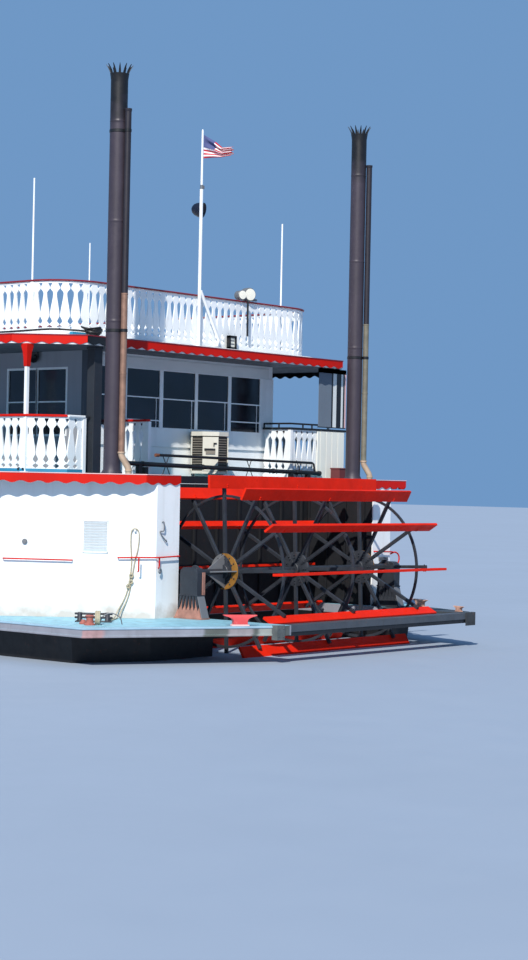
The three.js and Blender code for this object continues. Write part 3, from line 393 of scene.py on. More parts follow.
def stations(line, step=None):
    """(x, y, out x, out y, way gone) along a line, with mitred corners; out is to its left."""
    points = [Vector(p) for p in line]
    way, made = 0.0, []
    for i, point in enumerate(points):
        after = points[i + 1] if i + 1 < len(points) else None
        a = (point - points[i - 1]).normalized() if i else None
        b = (after - point).normalized() if after is not None else None
        a, b = a or b, b or a
        along = (a + b).normalized()
        stretch = 1 / max(0.3, along.dot(a))
        made.append((point.x, point.y, -along.y * stretch, along.x * stretch, way))
        if after is not None:
            length = (after - point).length
            pieces = max(1, round(length / step)) if step else 1
            for k in range(1, pieces):
                at = point + (after - point) * (k / pieces)
                made.append((at.x, at.y, -b.y, b.x, way + length * k / pieces))
            way += length
    return made


def arc(cx, cy, rx, ry, start, end, steps):
    angles = [radians(start + (end - start) * i / steps) for i in range(steps + 1)]
    return [(cx + rx * cos(a), cy + ry * sin(a)) for a in angles]


def oval(centre, wide, tall, steps, start=0.0):
    """Points round a centre, between two half axes."""
    angles = [tau * i / steps + start for i in range(steps)]
    return [Vector(centre) + Vector(wide) * cos(a) + Vector(tall) * sin(a) for a in angles]


def side_of(line, side):
    """The line as it is to port, or its mirror image to starboard, with port's direction kept."""
    return [(x, y * side) for x, y in line]


def mirror(line):
    return side_of(line, -1)[::-1]


def smooth_path(points, steps=8):
    """A Catmull-Rom curve through points."""
    points = [Vector(p) for p in points]
    ends = [points[0] * 2 - points[1], *points, points[-1] * 2 - points[-2]]
    made = []
    for i in range(len(points) - 1):
        a, b, c, d = ends[i:i + 4]
        for t in (k / steps for k in range(steps)):
            made.append(0.5 * ((2 * b) + (c - a) * t + (2 * a - 5 * b + 4 * c - d) * t * t
                               + (3 * b - a - 3 * c + d) * t ** 3))
    return made + [points[-1]]


def placed(origin, across, out):
    """The frame of a wall: X along it, Y out of it, Z up."""
    turn = Matrix((Vector(across), Vector(out), UP)).transposed().to_4x4()
    turn.translation = origin
    return turn


def spin(centre, angle, axis="Z"):
    return Matrix.Translation(centre) @ Matrix.Rotation(radians(angle), 4, axis)


def new_object(name, shape, paints):
    mesh = bpy.data.meshes.new(name)
    mesh.from_pydata([tuple(p) for p in shape.points], [], shape.faces)
    for material in paints if isinstance(paints, list) else [paints]:
        mesh.materials.append(material)
    mesh.polygons.foreach_set("material_index", shape.paints)
    made = bpy.data.objects.new(name, mesh)
    bpy.context.scene.collection.objects.link(made)
    return made


def finish(name, shape, paints, body="boat", replaces=None, bevel=0.0, smooth=38, segments=2):
    """Makes a shape into a piece that rides on a body."""
    piece = new_object(name, shape, paints)
    work = bmesh.new()
    work.from_mesh(piece.data)
    bmesh.ops.recalc_face_normals(work, faces=work.faces)
    for face in work.faces:
        face.smooth = True
    for edge in work.edges:
        edge.smooth = len(edge.link_faces) == 2 and edge.calc_face_angle(pi) < radians(smooth)
    work.to_mesh(piece.data)
    work.free()
    if bevel:
        rounding = piece.modifiers.new("rounding", "BEVEL")
        rounding.width, rounding.segments, rounding.limit_method = bevel, segments, "ANGLE"
        rounding.angle_limit, rounding.harden_normals = radians(40), True
    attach(piece, body)
    if replaces:
        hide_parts(replaces)
    return piece


def repaint(material, *names):
    for name in names:
        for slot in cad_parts[name].material_slots:
            slot.material = material


# Camera, at the photograph's place

def make_camera():
    heading, pitch, roll = 0.8768, 0.0021, 0.0201
    forward = Vector((cos(heading) * cos(pitch), -sin(heading) * cos(pitch), sin(pitch)))
    right = Vector((-sin(heading), -cos(heading), 0))
    up = right.cross(forward)
    across, upright = right * cos(roll) + up * sin(roll), up * cos(roll) - right * sin(roll)
    data = bpy.data.cameras.new("camera")
    data.lens, data.sensor_width, data.clip_end = 71.97, 36.0, 500
    camera = bpy.data.objects.new("camera", data)
    camera.matrix_world = Matrix((across, upright, -forward)).transposed().to_4x4()
    camera.matrix_world.translation = (-39.717, 30.030, 4.259)
    bpy.context.scene.collection.objects.link(camera)
    bpy.context.scene.camera = camera


# Rope on the port quarter

ALONG = (QUARTER_END - QUARTER_START).normalized()
OUTWARD = Vector((-ALONG.y, ALONG.x, 0))


def on_quarter(s, out, z, side=1):
    """A point by the house's slanting quarter wall: way along it from aft, distance off it, height."""
    point = QUARTER_START + ALONG * s + OUTWARD * out
    return Vector((point.x, point.y * side, z))


ROPE_R = 0.012
KEVEL = (1.047, 1.132)
# Way along the wall, distance off it and height over the deck: from the kevel up the wall, over a peg, back
ROPE_ROUTE = [
    (0.817, 1.089, 0.070), (0.839, 1.041, 0.062), (0.830, 0.950, 0.020), (0.812, 0.820, 0.015),
    (0.790, 0.650, 0.015), (0.753, 0.300, 0.016), (0.742, 0.190, 0.022),
    (0.725, 0.110, 0.060), (0.695, 0.062, 0.130), (0.650, 0.036, 0.220), (0.583, 0.024, 0.350),
    (0.530, 0.020, 0.500), (0.484, 0.018, 0.720), (0.456, 0.018, 1.050),
    (0.468, 0.020, 1.250), (0.477, 0.024, 1.420), (0.476, 0.027, 1.560), (0.465, 0.030, 1.630),
    (0.438, 0.032, 1.664), (0.400, 0.032, 1.675), (0.362, 0.032, 1.664), (0.335, 0.030, 1.630),
    (0.323, 0.027, 1.560), (0.326, 0.024, 1.420), (0.350, 0.020, 1.250), (0.392, 0.018, 1.080),
    (0.418, 0.018, 0.920), (0.446, 0.018, 0.720), (0.482, 0.020, 0.500), (0.526, 0.024, 0.350),
    (0.585, 0.036, 0.215), (0.632, 0.062, 0.125), (0.662, 0.110, 0.058), (0.680, 0.190, 0.022),
    (0.692, 0.300, 0.016), (0.724, 0.650, 0.015), (0.742, 0.820, 0.015),
    (0.750, 0.950, 0.020), (0.755, 1.041, 0.062), (0.777, 1.089, 0.070),
]


def laid_rope(shape, points, radius):
    """A three-strand rope along points close together."""
    rings, way, twist_length, sides = [], 0.0, 0.11, 18
    for i, (point, ring) in enumerate(zip(points, circles(points, [1.0] * len(points), sides))):
        way += (point - points[i - 1]).length if i else 0.0
        turned = tau * way / twist_length
        strands = [0.80 + 0.20 * abs(cos(1.5 * (tau * k / sides - turned))) for k in range(sides)]
        rings.append([point + (corner - point) * radius * bulge for corner, bulge in zip(ring, strands)])
    shape.loft(rings)


def even_path(points, step):
    """Points a step apart along a smooth curve through points, and its length."""
    fine = smooth_path(points, 24)
    made, way = [fine[0]], 0.0
    for a, b in zip(fine, fine[1:]):
        length = (b - a).length
        while way + length >= step * len(made):
            made.append(a.lerp(b, (step * len(made) - way) / length))
        way += length
    return made + [fine[-1]], way


def make_rope():
    route = [on_quarter(s, out, DECK + up) for s, out, up in ROPE_ROUTE]
    path, length = even_path(route, 0.011)
    rope = Shape()
    laid_rope(rope, path, ROPE_R)
    piece = finish("mooring_rope", rope, ROPE, replaces="rope_port", smooth=70)


# Railings

# A sawn board's outline: depth under the cap and half width, for a rail 1.12 m high in boards 0.20 m wide
BALUSTER = [(0.070, 0.0625), (0.105, 0.0625), (0.14, 0.083), (0.172, 0.095), (0.20, 0.092), (0.235, 0.062),
            (0.265, 0.040), (0.30, 0.034), (0.36, 0.039), (0.42, 0.048), (0.48, 0.058), (0.55, 0.070),
            (0.62, 0.081), (0.68, 0.089), (0.73, 0.094), (0.77, 0.092), (0.82, 0.066), (0.863, 0.046),
            (0.895, 0.064), (0.925, 0.095), (0.945, 0.095), (0.962, 0.060), (0.985, 0.040), (1.008, 0.060),
            (1.03, 0.096), (1.10, 0.096)]
RAIL_PITCH, BOARD_THICK, CAP_THICK = 0.20, 0.03, 0.046
CAP_SECTION = [(-0.05, -0.045), (0.05, -0.045), (0.055, -0.035), (0.055, -0.01), (0.045, 0.0), (-0.045, 0.0),
               (-0.055, -0.01), (-0.055, -0.035)]


def line_length(line):
    return sum(hypot(b[0] - a[0], b[1] - a[1]) for a, b in zip(line, line[1:]))


def along_line(line, way):
    """The point and direction at a way gone along a line."""
    for start, end in zip(line, line[1:]):
        length = line_length([start, end])
        direction = ((end[0] - start[0]) / length, (end[1] - start[1]) / length)
        if way <= length:
            return (start[0] + direction[0] * way, start[1] + direction[1] * way), direction
        way -= length
    return end, direction


def baluster_boards(shape, line, top, height):
    """Sawn boards side by side along one run of a railing."""
    length = line_length(line)
    count = max(1, round(length / RAIL_PITCH))
    wide, tall, half = length / count / 0.2, height / 1.12, BOARD_THICK / 2
    for k in range(count):
        (x, y), (dx, dy) = along_line(line, length * (k + 0.5) / count)
        outline = [(h * wide, top - d * tall) for d, h in BALUSTER]
        outline += [(-h, z) for h, z in outline[::-1]]
        shape.loft([[(x + dx * a - dy * off, y + dy * a + dx * off, z) for a, z in outline]
                    for off in (-half, half)])


def fence(shape, runs, path, top, height):
    """Boards along the runs, and along the path the rail under the cap and the base band."""
    for run in runs:
        baluster_boards(shape, run, top, height)
    for half, low, high in ((0.022, -0.075, -0.046), (0.02, -height * 0.985, -height * 0.925)):
        shape.sweep(path, [(-half, low), (half, low), (half, high), (-half, high)], top)


def make_roof_rail():
    x, y, radius, bow, height, bays = -12.92, 3.96, 0.9, 3.6, 1.07, 6
    top, start = ROOF + height, x + radius
    corner = arc(start, y - radius, radius, radius, 180, 90, 14)
    side_run, half = [(start, y), (bow, y)], corner + [(bow, y)]
    whole = mirror(half) + half
    rail = Shape()
    fence(rail, ([(x, radius - y), (x, y - radius)], corner, mirror(corner), side_run, side_of(side_run, -1)),
          whole, top, height)
    for i in range(bays + 1):
        for side, _ in SIDES:
            rail.post(start + (bow - start) * i / bays, y * side, 0.04, ROOF, top - CAP_THICK)
    rail.paint = 1
    rail.sweep(whole, [(out, up * 0.7 - 0.004) for out, up in CAP_SECTION], top)
    finish("roof_railing", rail, [WHITE, DARK_RED], replaces="roof_rail")


def flared_bracket(shape, x, y, top):
    """The red capital under the canopy at the head of a post."""
    rows = ((0.44, 0.04), (0.42, 0.047), (0.30, 0.05), (0.16, 0.062), (0.05, 0.085), (0.0, 0.085))
    shape.loft([[(x + a, y + b, top - down) for a, b in corners(half, half)] for down, half in rows])


def make_first_rail(side, name):
    y, corner_x, bow = 4.72, -12.70, 8.8
    top = FIRST + FIRST_RAIL_TALL
    aft = [(FIRST_RAIL_X, 3.78), (FIRST_RAIL_X, 4.21)] if side > 0 else [
        (CABIN_X - 0.06, 2.58), (FIRST_RAIL_X, 2.58), (FIRST_RAIL_X, 4.50)]
    aft = side_of(aft, side)
    path = aft + side_of([(corner_x, y), (bow, y)], side)
    runs = list(zip(path, path[1:]))
    if side < 0:
        path = path[::-1]
    rail = Shape()
    fence(rail, runs, path, top, FIRST_RAIL_TALL)
    posts = [corner_x] + [-9.5 + 3.05 * i for i in range(7)]
    for x in posts:
        rail.post(x, y * side, 0.033, FIRST, SOFFIT)
        rail.post(x, y * side, 0.07, FIRST, FIRST + 0.02)
    rail.post(*aft[-2], 0.04, FIRST, top - CAP_THICK)
    rail.paint = 1
    for x in posts:
        flared_bracket(rail, x, y * side, SOFFIT)
    if side > 0:
        rail.sweep(path[1:], CAP_SECTION, top)
        rail.paint = 0
        rail.sweep(path[:2], CAP_SECTION, top - 0.002)
        rail.paint = 3
        rail.sweep(path, [(0.024, 0.0), (0.034, 0.0), (0.034, 0.078), (0.024, 0.078)], FIRST)
        rail.paint = 2
        for way in (1.25, 1.38):
            rail.turned([(0.03, 0.03), (0.045, 0.05), (0.045, 0.08), (0.02, 0.1)],
                        (*along_line(path, way)[0], FIRST), sides=12)
    else:
        split, high = len(path) - len(aft), top + 0.085
        rail.sweep(path[:split + 1], CAP_SECTION, top)
        # To starboard the cap on the aft runs is black: painted shade on the red cap; a black pipe runs above
        # it
        rail.paint = 2
        rail.sweep(path[split:], CAP_SECTION, top)
        rail.tube([(*point, high) for point in path[split:]], 0.02)
        for point in (aft[0], *(along_line(aft, way)[0] for way in (0.42, 1.18, 1.5))):
            rail.tube([(*point, top - 0.01), (*point, high + 0.012)], 0.018, 8)
    finish(f"first_railing_{name}", rail, [WHITE, RED, BLACK, TEAL],
           replaces=f"first_rail_{name}")


def make_stern_return():
    """The short run of the port rail beside the gate."""
    line = [(CABIN_X - 0.06, 1.95), (FIRST_RAIL_X, 1.95)]
    top = FIRST + FIRST_RAIL_TALL
    rail = Shape()
    fence(rail, [line], line, top, FIRST_RAIL_TALL)
    rail.post(*line[1], 0.04, FIRST, top - CAP_THICK)
    rail.paint = 1
    rail.sweep(line, CAP_SECTION, top)
    finish("stern_return_railing", rail, [WHITE, RED], replaces="stern_rail_port")


# Wavy red trims

def wave_trim(shape, line, top, depth, wave, pitch):
    """A hanging board with a wavy lower edge."""
    length, thick = line_length(line), 0.02
    count = max(1, round(length / pitch))

    def section(way):
        low = top - depth + wave * cos(tau * way / length * count)
        return [(0, low), (thick, low), (thick, top), (0, top)]
    shape.sweep(line, section, 0, pitch / 10)


def make_first_trim(side, name):
    quarter_y = 4.01 if side > 0 else 4.23
    edge = side_of([(HOUSE_STERN_X, HOUSE_WELL_Y), (HOUSE_STERN_X, quarter_y), (QUARTER_END.x, 6.0),
                    (10.3, 6.0), (13.1, 3.7)], side)[::side]
    trim = Shape()
    for run in zip(edge, edge[1:]):
        wave_trim(trim, run, FIRST - 0.004, 0.165, 0.022, 0.325)
    trim.paint = 1
    trim.sweep(edge, [(-0.02, -0.008), (0.026, -0.008), (0.03, 0.0), (0.026, 0.008), (-0.02, 0.008)], FIRST)
    finish(f"first_deck_trim_{name}", trim, [RED, PINK_LIP])


def make_canopy_trim():
    half = [(-13.6, 4.0), (-12.5, 4.95), (9.6, 4.95)]
    # The stern edge's short run by the port corner is painted black as painted shade
    line, shaded_from, top = mirror(half) + half, (-13.6, 3.38), CANOPY_TOP + 0.045
    loop = line[:3] + [shaded_from] + line[3:] + line[:1]
    trim = Shape()
    for start, end in zip(loop, loop[1:]):
        trim.paint, pitch = (2, 0.31) if start == shaded_from else (0, 0.29)
        wave_trim(trim, [start, end], top, 0.165, 0.02, pitch)
    trim.paint = 1
    trim.sweep(line, [(-0.06, -0.01), (0.028, -0.01), (0.03, 0.012), (-0.06, 0.012)], top - 0.01)
    # A black band inboard of the starboard trim is painted shade on the trim's inner side
    trim.paint = 2
    wave_trim(trim, [(-8.0, -4.90), (-12.4, -4.90)], SOFFIT + 0.02, 0.115, 0.025, 0.3)
    finish("canopy_trim", trim, [RED, DARK_RED, BLACK])


# Windows

def window_frame(shape, turn, wide, z0, z1, bar=0.05, bars=()):
    """Four sides of a frame, and cross bars at heights."""
    half, end = 0.03, wide - bar
    shape.boxes(((0, bar, -half, half, z0, z1), (end, wide, -half, half, z0, z1),
                 (bar, end, -half, half, z0, z0 + bar), (bar, end, -half, half, z1 - bar, z1),
                 *((bar, end, -half * 0.8, half * 0.8, z - 0.014, z + 0.014) for z in bars)), turn)


def pane(shape, turn, wide, z0, z1):
    inset, half = 0.02, 0.006
    shape.box((inset, -half, z0 + inset), (wide - inset, half, z1 - inset), turn)


def window(frames, glass, origin, across, out, wide, z0, z1, bars=()):
    """A framed window, its pane a little inside the frame's middle."""
    window_frame(frames, placed(origin, across, out), wide, z0, z1, bars=bars)
    pane(glass, placed(Vector(origin) - Vector(out) * 0.01, across, out), wide, z0, z1)


def finish_windows(name, frames, glass):
    finish(f"{name}frames", frames, WHITE, bevel=0.004)
    finish(f"{name}glass", glass, GLASS)


# Each stern window: its starboard and port edge, and the heights of its cross bars
STERN_WINDOWS = ((-2.443, -1.476, (5.60, 5.99)), (-1.376, -0.394, (6.0,)), (-0.301, 0.691, (5.99,)),
                 (0.798, 1.773, (5.53, 6.0)), (1.878, 2.78, (6.0,)))
STERN_SILL, STERN_HEAD = 5.39, 6.57


def make_stern_windows(frames, glass):
    """Boards with narrow mullions over the cabin's stern openings, and the glass behind them."""
    out, back = CABIN_X - 0.034, CABIN_X - 0.012
    edges = [-CABIN_Y] + [edge for row in STERN_WINDOWS for edge in row[:2]] + [CABIN_Y]
    for y0, y1 in zip(edges[::2], edges[1::2]):
        frames.box((out, y0, STERN_SILL), (back, y1, STERN_HEAD))
    frames.box((out, -CABIN_Y, FIRST + 0.6), (back, CABIN_Y, STERN_SILL))
    frames.box((out, -CABIN_Y, STERN_HEAD), (back, CABIN_Y, STERN_HEAD + 0.02))
    for y0, y1, bars in STERN_WINDOWS:
        for z in bars:
            frames.box((out + 0.004, y0, z - 0.013), (back, y1, z + 0.013))
        frames.box((out + 0.006, y0 + 0.085, STERN_SILL), (back, y0 + 0.1, bars[-1]))
    glass.box((back, -2.6, STERN_SILL - 0.02), (back + 0.008, 2.8, STERN_HEAD + 0.01))


def make_cabin_windows():
    frames, glass = Shape(), Shape()
    sill, head, leaf = FIRST + 0.75, FIRST + 2.15, 0.91
    make_stern_windows(frames, glass)
    for side, _ in SIDES:
        for i in range(8):
            x = CABIN_X + 0.55 + 2.4 * i
            for at in (x, x + 0.87):
                turn = placed((at, (CABIN_Y - 0.02) * side, 0), (1, 0, 0), (0, side, 0))
                window_frame(frames, turn, leaf, sill, head, 0.045, bars=[sill + 0.7])
            pane(glass, placed((x, (CABIN_Y - 0.03) * side, 0), (1, 0, 0), (0, side, 0)), 1.78, sill, head)
    finish_windows("cabin_window_", frames, glass)


def make_lower_windows():
    frames, glass = Shape(), Shape()
    sill, head, door = DECK + 0.95, DECK + 2.0, (-7.5, -4.8)
    bars = [sill + 0.5]
    for side, _ in SIDES:
        for x in (-11.0 + 2.4 * i for i in range(9)):
            if not door[0] < x < door[1]:
                window(frames, glass, (x, 5.55 * side, 0), (1, 0, 0), (0, side, 0), 1.3, sill, head, bars)
    for y in (-2.6, -0.6, 1.4):
        window(frames, glass, (12.58, y, 0), (0, 1, 0), (1, 0, 0), 1.2, sill, head, bars)
    finish_windows("lower_window_", frames, glass)


def make_pilot_house():
    frames, glass = Shape(), Shape()
    sill, head = ROOF + 1.0, ROOF + 1.9
    for side, _ in SIDES:
        window(frames, glass, (4.9, 1.48 * side, 0), (1, 0, 0), (0, side, 0), 2.4, sill, head)
    window(frames, glass, (7.58, -1.2, 0), (0, 1, 0), (1, 0, 0), 2.4, sill, head)
    finish_windows("pilothouse_", frames, glass)


# Stacks and pipes

# A crown's spike: reach out from the stack, height over its top, half width
SPIKE = ((0.004, -0.03, 0.024), (0.012, 0.03, 0.022), (0.031, 0.075, 0.018), (0.058, 0.125, 0.011),
         (0.088, 0.17, 0.003))
SPIKES, FOOT_BOLTS, FOOT_BOLT_R = 12, 8, 0.188


def make_stack(side, name):
    centre = Vector((STACK_X, STACK_Y * side, 0))
    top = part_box(f"stack_{name}")[1].z - SPIKE[-1][1]
    profile = [(0.2, FIRST), (0.2, FIRST + 0.02)]
    profile += [(STACK_R + rise, FIRST + up) for rise, up in ((0.02, 0.05), (0, 0.09), (0, 0.2))]
    for seam in (6.3, 8.2, 10.1):
        profile += [(STACK_R + rise, WATER + seam + up) for rise, up in
                    ((0, -0.05), (0, -0.012), (0.004, -0.004), (0.004, 0.004), (0, 0.012), (0, 0.05))]
    profile += [(STACK_R + rise, top + up) for rise, up in
                ((0, -0.2), (0, -0.12), (0.012, -0.03), (0.018, 0), (-0.004, 0), (-0.02, -0.5))]
    stack = Shape()
    stack.turned(profile, centre, sides=40)
    for k in range(SPIKES):
        angle = tau * (k + 0.5) / SPIKES
        out, across = Vector((cos(angle), sin(angle), 0)), Vector((-sin(angle), cos(angle), 0))
        stack.loft([[centre + out * (STACK_R + reach + b) + across * a + UP * (top + up)
                     for a, b in corners(half, 0.007)] for reach, up, half in SPIKE])
    for point in oval(centre + UP * (FIRST + 0.02), (FOOT_BOLT_R, 0, 0), (0, FOOT_BOLT_R, 0), FOOT_BOLTS):
        stack.bolt(point, radius=0.012)
    finish(f"smoke_{name}", stack, STACK, replaces=f"stack_{name}")


# A pipe's bend over the deck, and its foot
BEND = ((0, 0, 0.44), (0, 0, 0.37), (-0.012, -0.010, 0.32), (-0.096, -0.080, 0.14), (-0.108, -0.090, 0.09),
        (-0.108, -0.090, 0))


def make_pipe(side, name):
    dx, dy = PIPE_OFF[side]
    x, y = STACK_X + dx, STACK_Y * side + dy
    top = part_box(f"exhaust_pipe_{name}")[1].z
    pipe = Shape()
    pipe.tube([(x, y, top), (x, y, PIPE_SEAM)], PIPE_R, 24)
    pipe.turned([(PIPE_R + rise, top + up) for rise, up in
                 ((0, -0.06), (0.006, -0.05), (0.008, 0), (-0.01, 0.001))], (x, y, 0))
    pipe.paint = 1
    pipe.tube([(x, y, PIPE_SEAM), (x, y, FIRST + 0.42)], PIPE_R, 24)
    for z in (PIPE_SEAM, 6.3):
        pipe.collar((x, y, z), UP, PIPE_R, PIPE_R + 0.005, 0.016, 0.012)
    pipe.paint = 2
    bend = [Vector((x + a, y + b, FIRST + up)) for a, b, up in BEND]
    pipe.tube(bend, PIPE_R, 24)
    for foot, up, rise in ((bend[0], 0.41, 0.012), (bend[-1], 0.07, 0.01)):
        pipe.collar((foot.x, foot.y, FIRST + up), UP, PIPE_R, PIPE_R + rise, 0.02, 0.015)
    finish(f"exhaust_{name}", pipe, [STACK_DARK, PIPE if side > 0 else PIPE_GREY, ELBOW],
           replaces=f"exhaust_pipe_{name}")
    clamps = Shape()
    for z in (7.118, 10.916) if side > 0 else (7.083,):
        clamps.collar((STACK_X, STACK_Y * side, z), UP, STACK_R + 0.003, STACK_R + 0.009, 0.03, 0.026, 40)
        clamps.collar((x, y, z), UP, PIPE_R + 0.002, PIPE_R + 0.008, 0.03, 0.026)
    finish(f"stack_clamps_{name}", clamps, BLACK)


# Paddle wheel

HUBS, ARMS, ARM_ACROSS, RIM_R, SHAFT_R, SHAFT_END = (-2.15, 0.0, 2.15), 12, 0.03, 1.447, 0.055, 3.175
# Half of a hub's section: radius and distance off its middle
HUB = [(SHAFT_R, 0.09), (0.12, 0.09), (0.13, 0.082), (0.14, 0.024), (0.34, 0.024), (0.348, 0.018)]
# Parts of an outer hub's face: a rusty part lightened as a painted sunlit patch, and a grey part: paint,
# start and end angle, inner radius at the middle
CRESCENTS = ((1, -105, 100, 0.19), (2, 104, 170, 0.12))
STIFFENER = [(0.045, 2.18), (0.328, 2.18), (0.325, 2.20), (0.07, 2.64), (0.045, 2.68)]


def spoke(at, angle):
    """The frame of an arm and its board: X out along the arm, Z the way the board faces."""
    return spin(at, angle + WHEEL_TURN, "Y")


def make_crescent(wheel, hub_at, out, start, end, inner):
    outer, middle, half, rings = 0.335, radians((start + end) / 2), radians((end - start) / 2), []
    for share in (k / 12 - 1 for k in range(25)):
        angle, near = middle + share * half, inner + (outer - inner) * share * share
        radial = Vector((-cos(angle), 0, sin(angle)))
        rings.append([hub_at + radial * r + Vector((0, out * off, 0)) for r, off in
                      ((near, 0.02), (0.347, 0.02), (0.347, 0.038), (near, 0.038))])
    wheel.loft(rings)


def make_spider(wheel, y):
    """One hub with its rim and arms."""
    hub_at = WHEEL + Vector((0, y, 0))
    wheel.paint = 0
    wheel.turned([(radius, -off) for radius, off in HUB] + HUB[::-1], hub_at, (0, 1, 0), 40)
    wheel.loft([[hub_at + radial * (RIM_R + a) + Vector((0, b, 0)) for a, b in corners(0.025, 0.022)]
                for radial in oval((0, 0, 0), (1, 0, 0), UP, 72)], closed=True)
    for k in range(ARMS):
        turn = spoke(hub_at, 360 / ARMS * k)
        wheel.box((0.1, -ARM_ACROSS, -ARM_HALF), (1.69, ARM_ACROSS, ARM_HALF), turn)
        for reach in (0.23, 0.285):
            for side, _ in SIDES:
                wheel.bolt(turn @ Vector((reach, ARM_ACROSS * side, 0)), (0, side, 0), 0.016, 0.02)
        wheel.bolt(turn @ Vector((1.64, 0, -ARM_HALF)), turn.to_3x3() @ -UP, height=0.012)
    for number, start, end, inner in CRESCENTS if y else ():
        wheel.paint = number
        make_crescent(wheel, hub_at, 1 if y > 0 else -1, start, end, inner)


def make_wheel():
    wheel = Shape()
    wheel.collar(WHEEL, (0, 1, 0), 0.05, SHAFT_R, SHAFT_END, SHAFT_END - 0.005, 32)
    for y in HUBS:
        make_spider(wheel, y)
    wheel.paint = 2
    for side, _ in SIDES:
        for angle in (0, 90, 180, 270):
            turn = spoke(WHEEL, angle)
            wheel.loft([[turn @ Vector((out, y * side, off)) for out, y in STIFFENER]
                        for off in (-0.012, 0.012)])
    finish("wheel_ironwork", wheel, [WHEEL_IRON, SUNLIT_RUST, GREY], "paddle_wheel", "wheel_frame",
           bevel=0.004, segments=1)
    face, back = ARM_HALF + 0.0003, ARM_HALF + 0.0503
    for k in range(ARMS):
        plank, turn = Shape(), spoke(WHEEL, 360 / ARMS * k)
        plank.box((1.594, -2.66, face), (1.84, 2.66, back), turn)
        for y in HUBS:
            for reach in (1.62, 1.66):
                plank.bolt(turn @ Vector((reach, y, back)), turn.to_3x3() @ UP, 0.016, 0.012)
        finish(f"paddle_board_{k + 1:02d}", plank, PLANK, "paddle_wheel", f"plank_{k + 1:02d}",
               bevel=0.006)


# A pedestal's rounded cap: distance off the shaft's line and height over it
CAP = [(0.22, -0.03), (0.216, 0.02), (0.20, 0.05), (0.17, 0.075), (0.135, 0.092), (0.095, 0.10)]
# Its foot: height over the deck, half length, half width
FOOT = ((0.0, 0.35, 0.125), (0.025, 0.35, 0.125), (0.04, 0.325, 0.118), (0.2, 0.262, 0.098),
        (0.21, 0.25, 0.082), (0.43, 0.2, 0.072))
# Its ribs: height over the deck, spread along it, outer distance, half thickness
NECK = 0.445
RIBS = ((0.17, 1.3, 0.112, 0.006), (0.28, 1.17, 0.11, 0.022), (NECK - 0.012, 1.0, 0.106, 0.03))


def make_pedestal(side, name):
    """A bearing's housing with its rounded cap on a flared foot with ribs."""
    x, y, z, neck = -15.63, 3.13 * side, WHEEL.z, DECK + NECK
    cap = [(along, z + up) for along, up in CAP]
    outline = [(0.215, neck), *cap, *[(-a, b) for a, b in cap[::-1]], (-0.215, neck)]
    bearing = Shape()
    bearing.loft([[(x + a, y + off, b) for a, b in outline] for off in (-0.105, 0.105)])
    bearing.turned([(0.075, 0.1), (0.13, 0.1), (0.14, 0.112), (0.135, 0.124), (0.075, 0.124)],
                   (WHEEL.x, y, z), (0, -side, 0), 28)
    for dx in (-0.165, 0.165):
        bearing.box((x + dx - 0.03, y - 0.11, z - 0.16), (x + dx + 0.03, y + 0.11, z - 0.10))
        for dy in (-0.06, 0.06):
            bearing.bolt((x + dx, y + dy, z + 0.058), UP, 0.016, 0.026)
    bearing.box((x - 0.232, y - 0.115, neck - 0.012), (x + 0.232, y + 0.115, neck + 0.014))
    for along in (-0.19 + 0.076 * k for k in range(6)):
        for face in (1, -1):
            bearing.loft([[(x + along * spread + a * half, y + face * off, DECK + up)
                           for a, off in ((-1, 0.07), (1, 0.07), (1, out), (-1, out))]
                          for up, spread, out, half in RIBS])
    bearing.paint = 1
    bearing.loft([[(x + a, y + b, DECK + up) for a, b in corners(*size)] for up, *size in FOOT])
    for a, b in corners(0.3, 0.09):
        bearing.bolt((x + a, y + b, DECK + 0.03), UP, 0.018, 0.02)
    strip = sorted((side * 3.02, side * 3.10))
    bearing.box((x - 0.232, strip[0], neck), (x - 0.215, strip[1], z + 0.01))
    bearing.paint = 2
    plate = [(-0.352, DECK + 0.026), (-0.222, neck), (-0.212, neck), (-0.332, DECK + 0.026)]
    bearing.loft([[(x + a, y + off, b) for a, b in plate] for off in (-0.1, 0.1)])
    finish(f"bearing_{name}", bearing, [HOUSING_PAINT, FOOT_PAINT if side > 0 else HOUSING_PAINT, GREY],
           replaces=f"pedestal_{name}", bevel=0.006)


# Stern

# Outline of a corner block: way forward of its face, place across
BLOCKS = (("port", FENDER, [(0, 3.05), (0, 3.27), (0.132, 3.27), (0.0195, BEAM_END_Y), (0.0195, 3.05)]),
          ("starboard", FENDER_DARK, [(0, -3.16), (0, -2.82), (0.0195, -2.82), (0.0195, -BEAM_END_Y),
                                      (0.119, -3.16)]))


def make_stern_beam():
    beam, reach = Shape(), 2.849
    for number, front, low, high in ((1, 0.015, -0.2, -0.125), (0, 0.0, -0.125, 0.0)):
        beam.paint = number
        beam.box((BEAM_X + front, -reach, DECK + low), (BEAM_X + 0.25, reach, DECK + high))
    for y in (-2.4 + 0.6 * k for k in range(9)):
        beam.box((BEAM_X - 0.004, y - 0.01, DECK - 0.12), (BEAM_X, y + 0.01, DECK - 0.004))
    finish("wheel_guard_beam", beam, [BEAM, BLACK], replaces="stern_beam", bevel=0.01)
    for name, material, outline in BLOCKS:
        block = Shape()
        block.prism([(BLOCK_X + a, y) for a, y in outline], DECK - 0.255, DECK + 0.012)
        middle = (outline[0][1] + outline[1][1]) / 2
        for dy, dz in corners(0.07, 0.07):
            block.bolt((BLOCK_X, middle + dy, DECK - 0.12 + dz), (-1, 0, 0), 0.016, 0.006)
        finish(f"corner_block_{name}", block, material, replaces=f"fender_{name}",
               bevel=0.006)


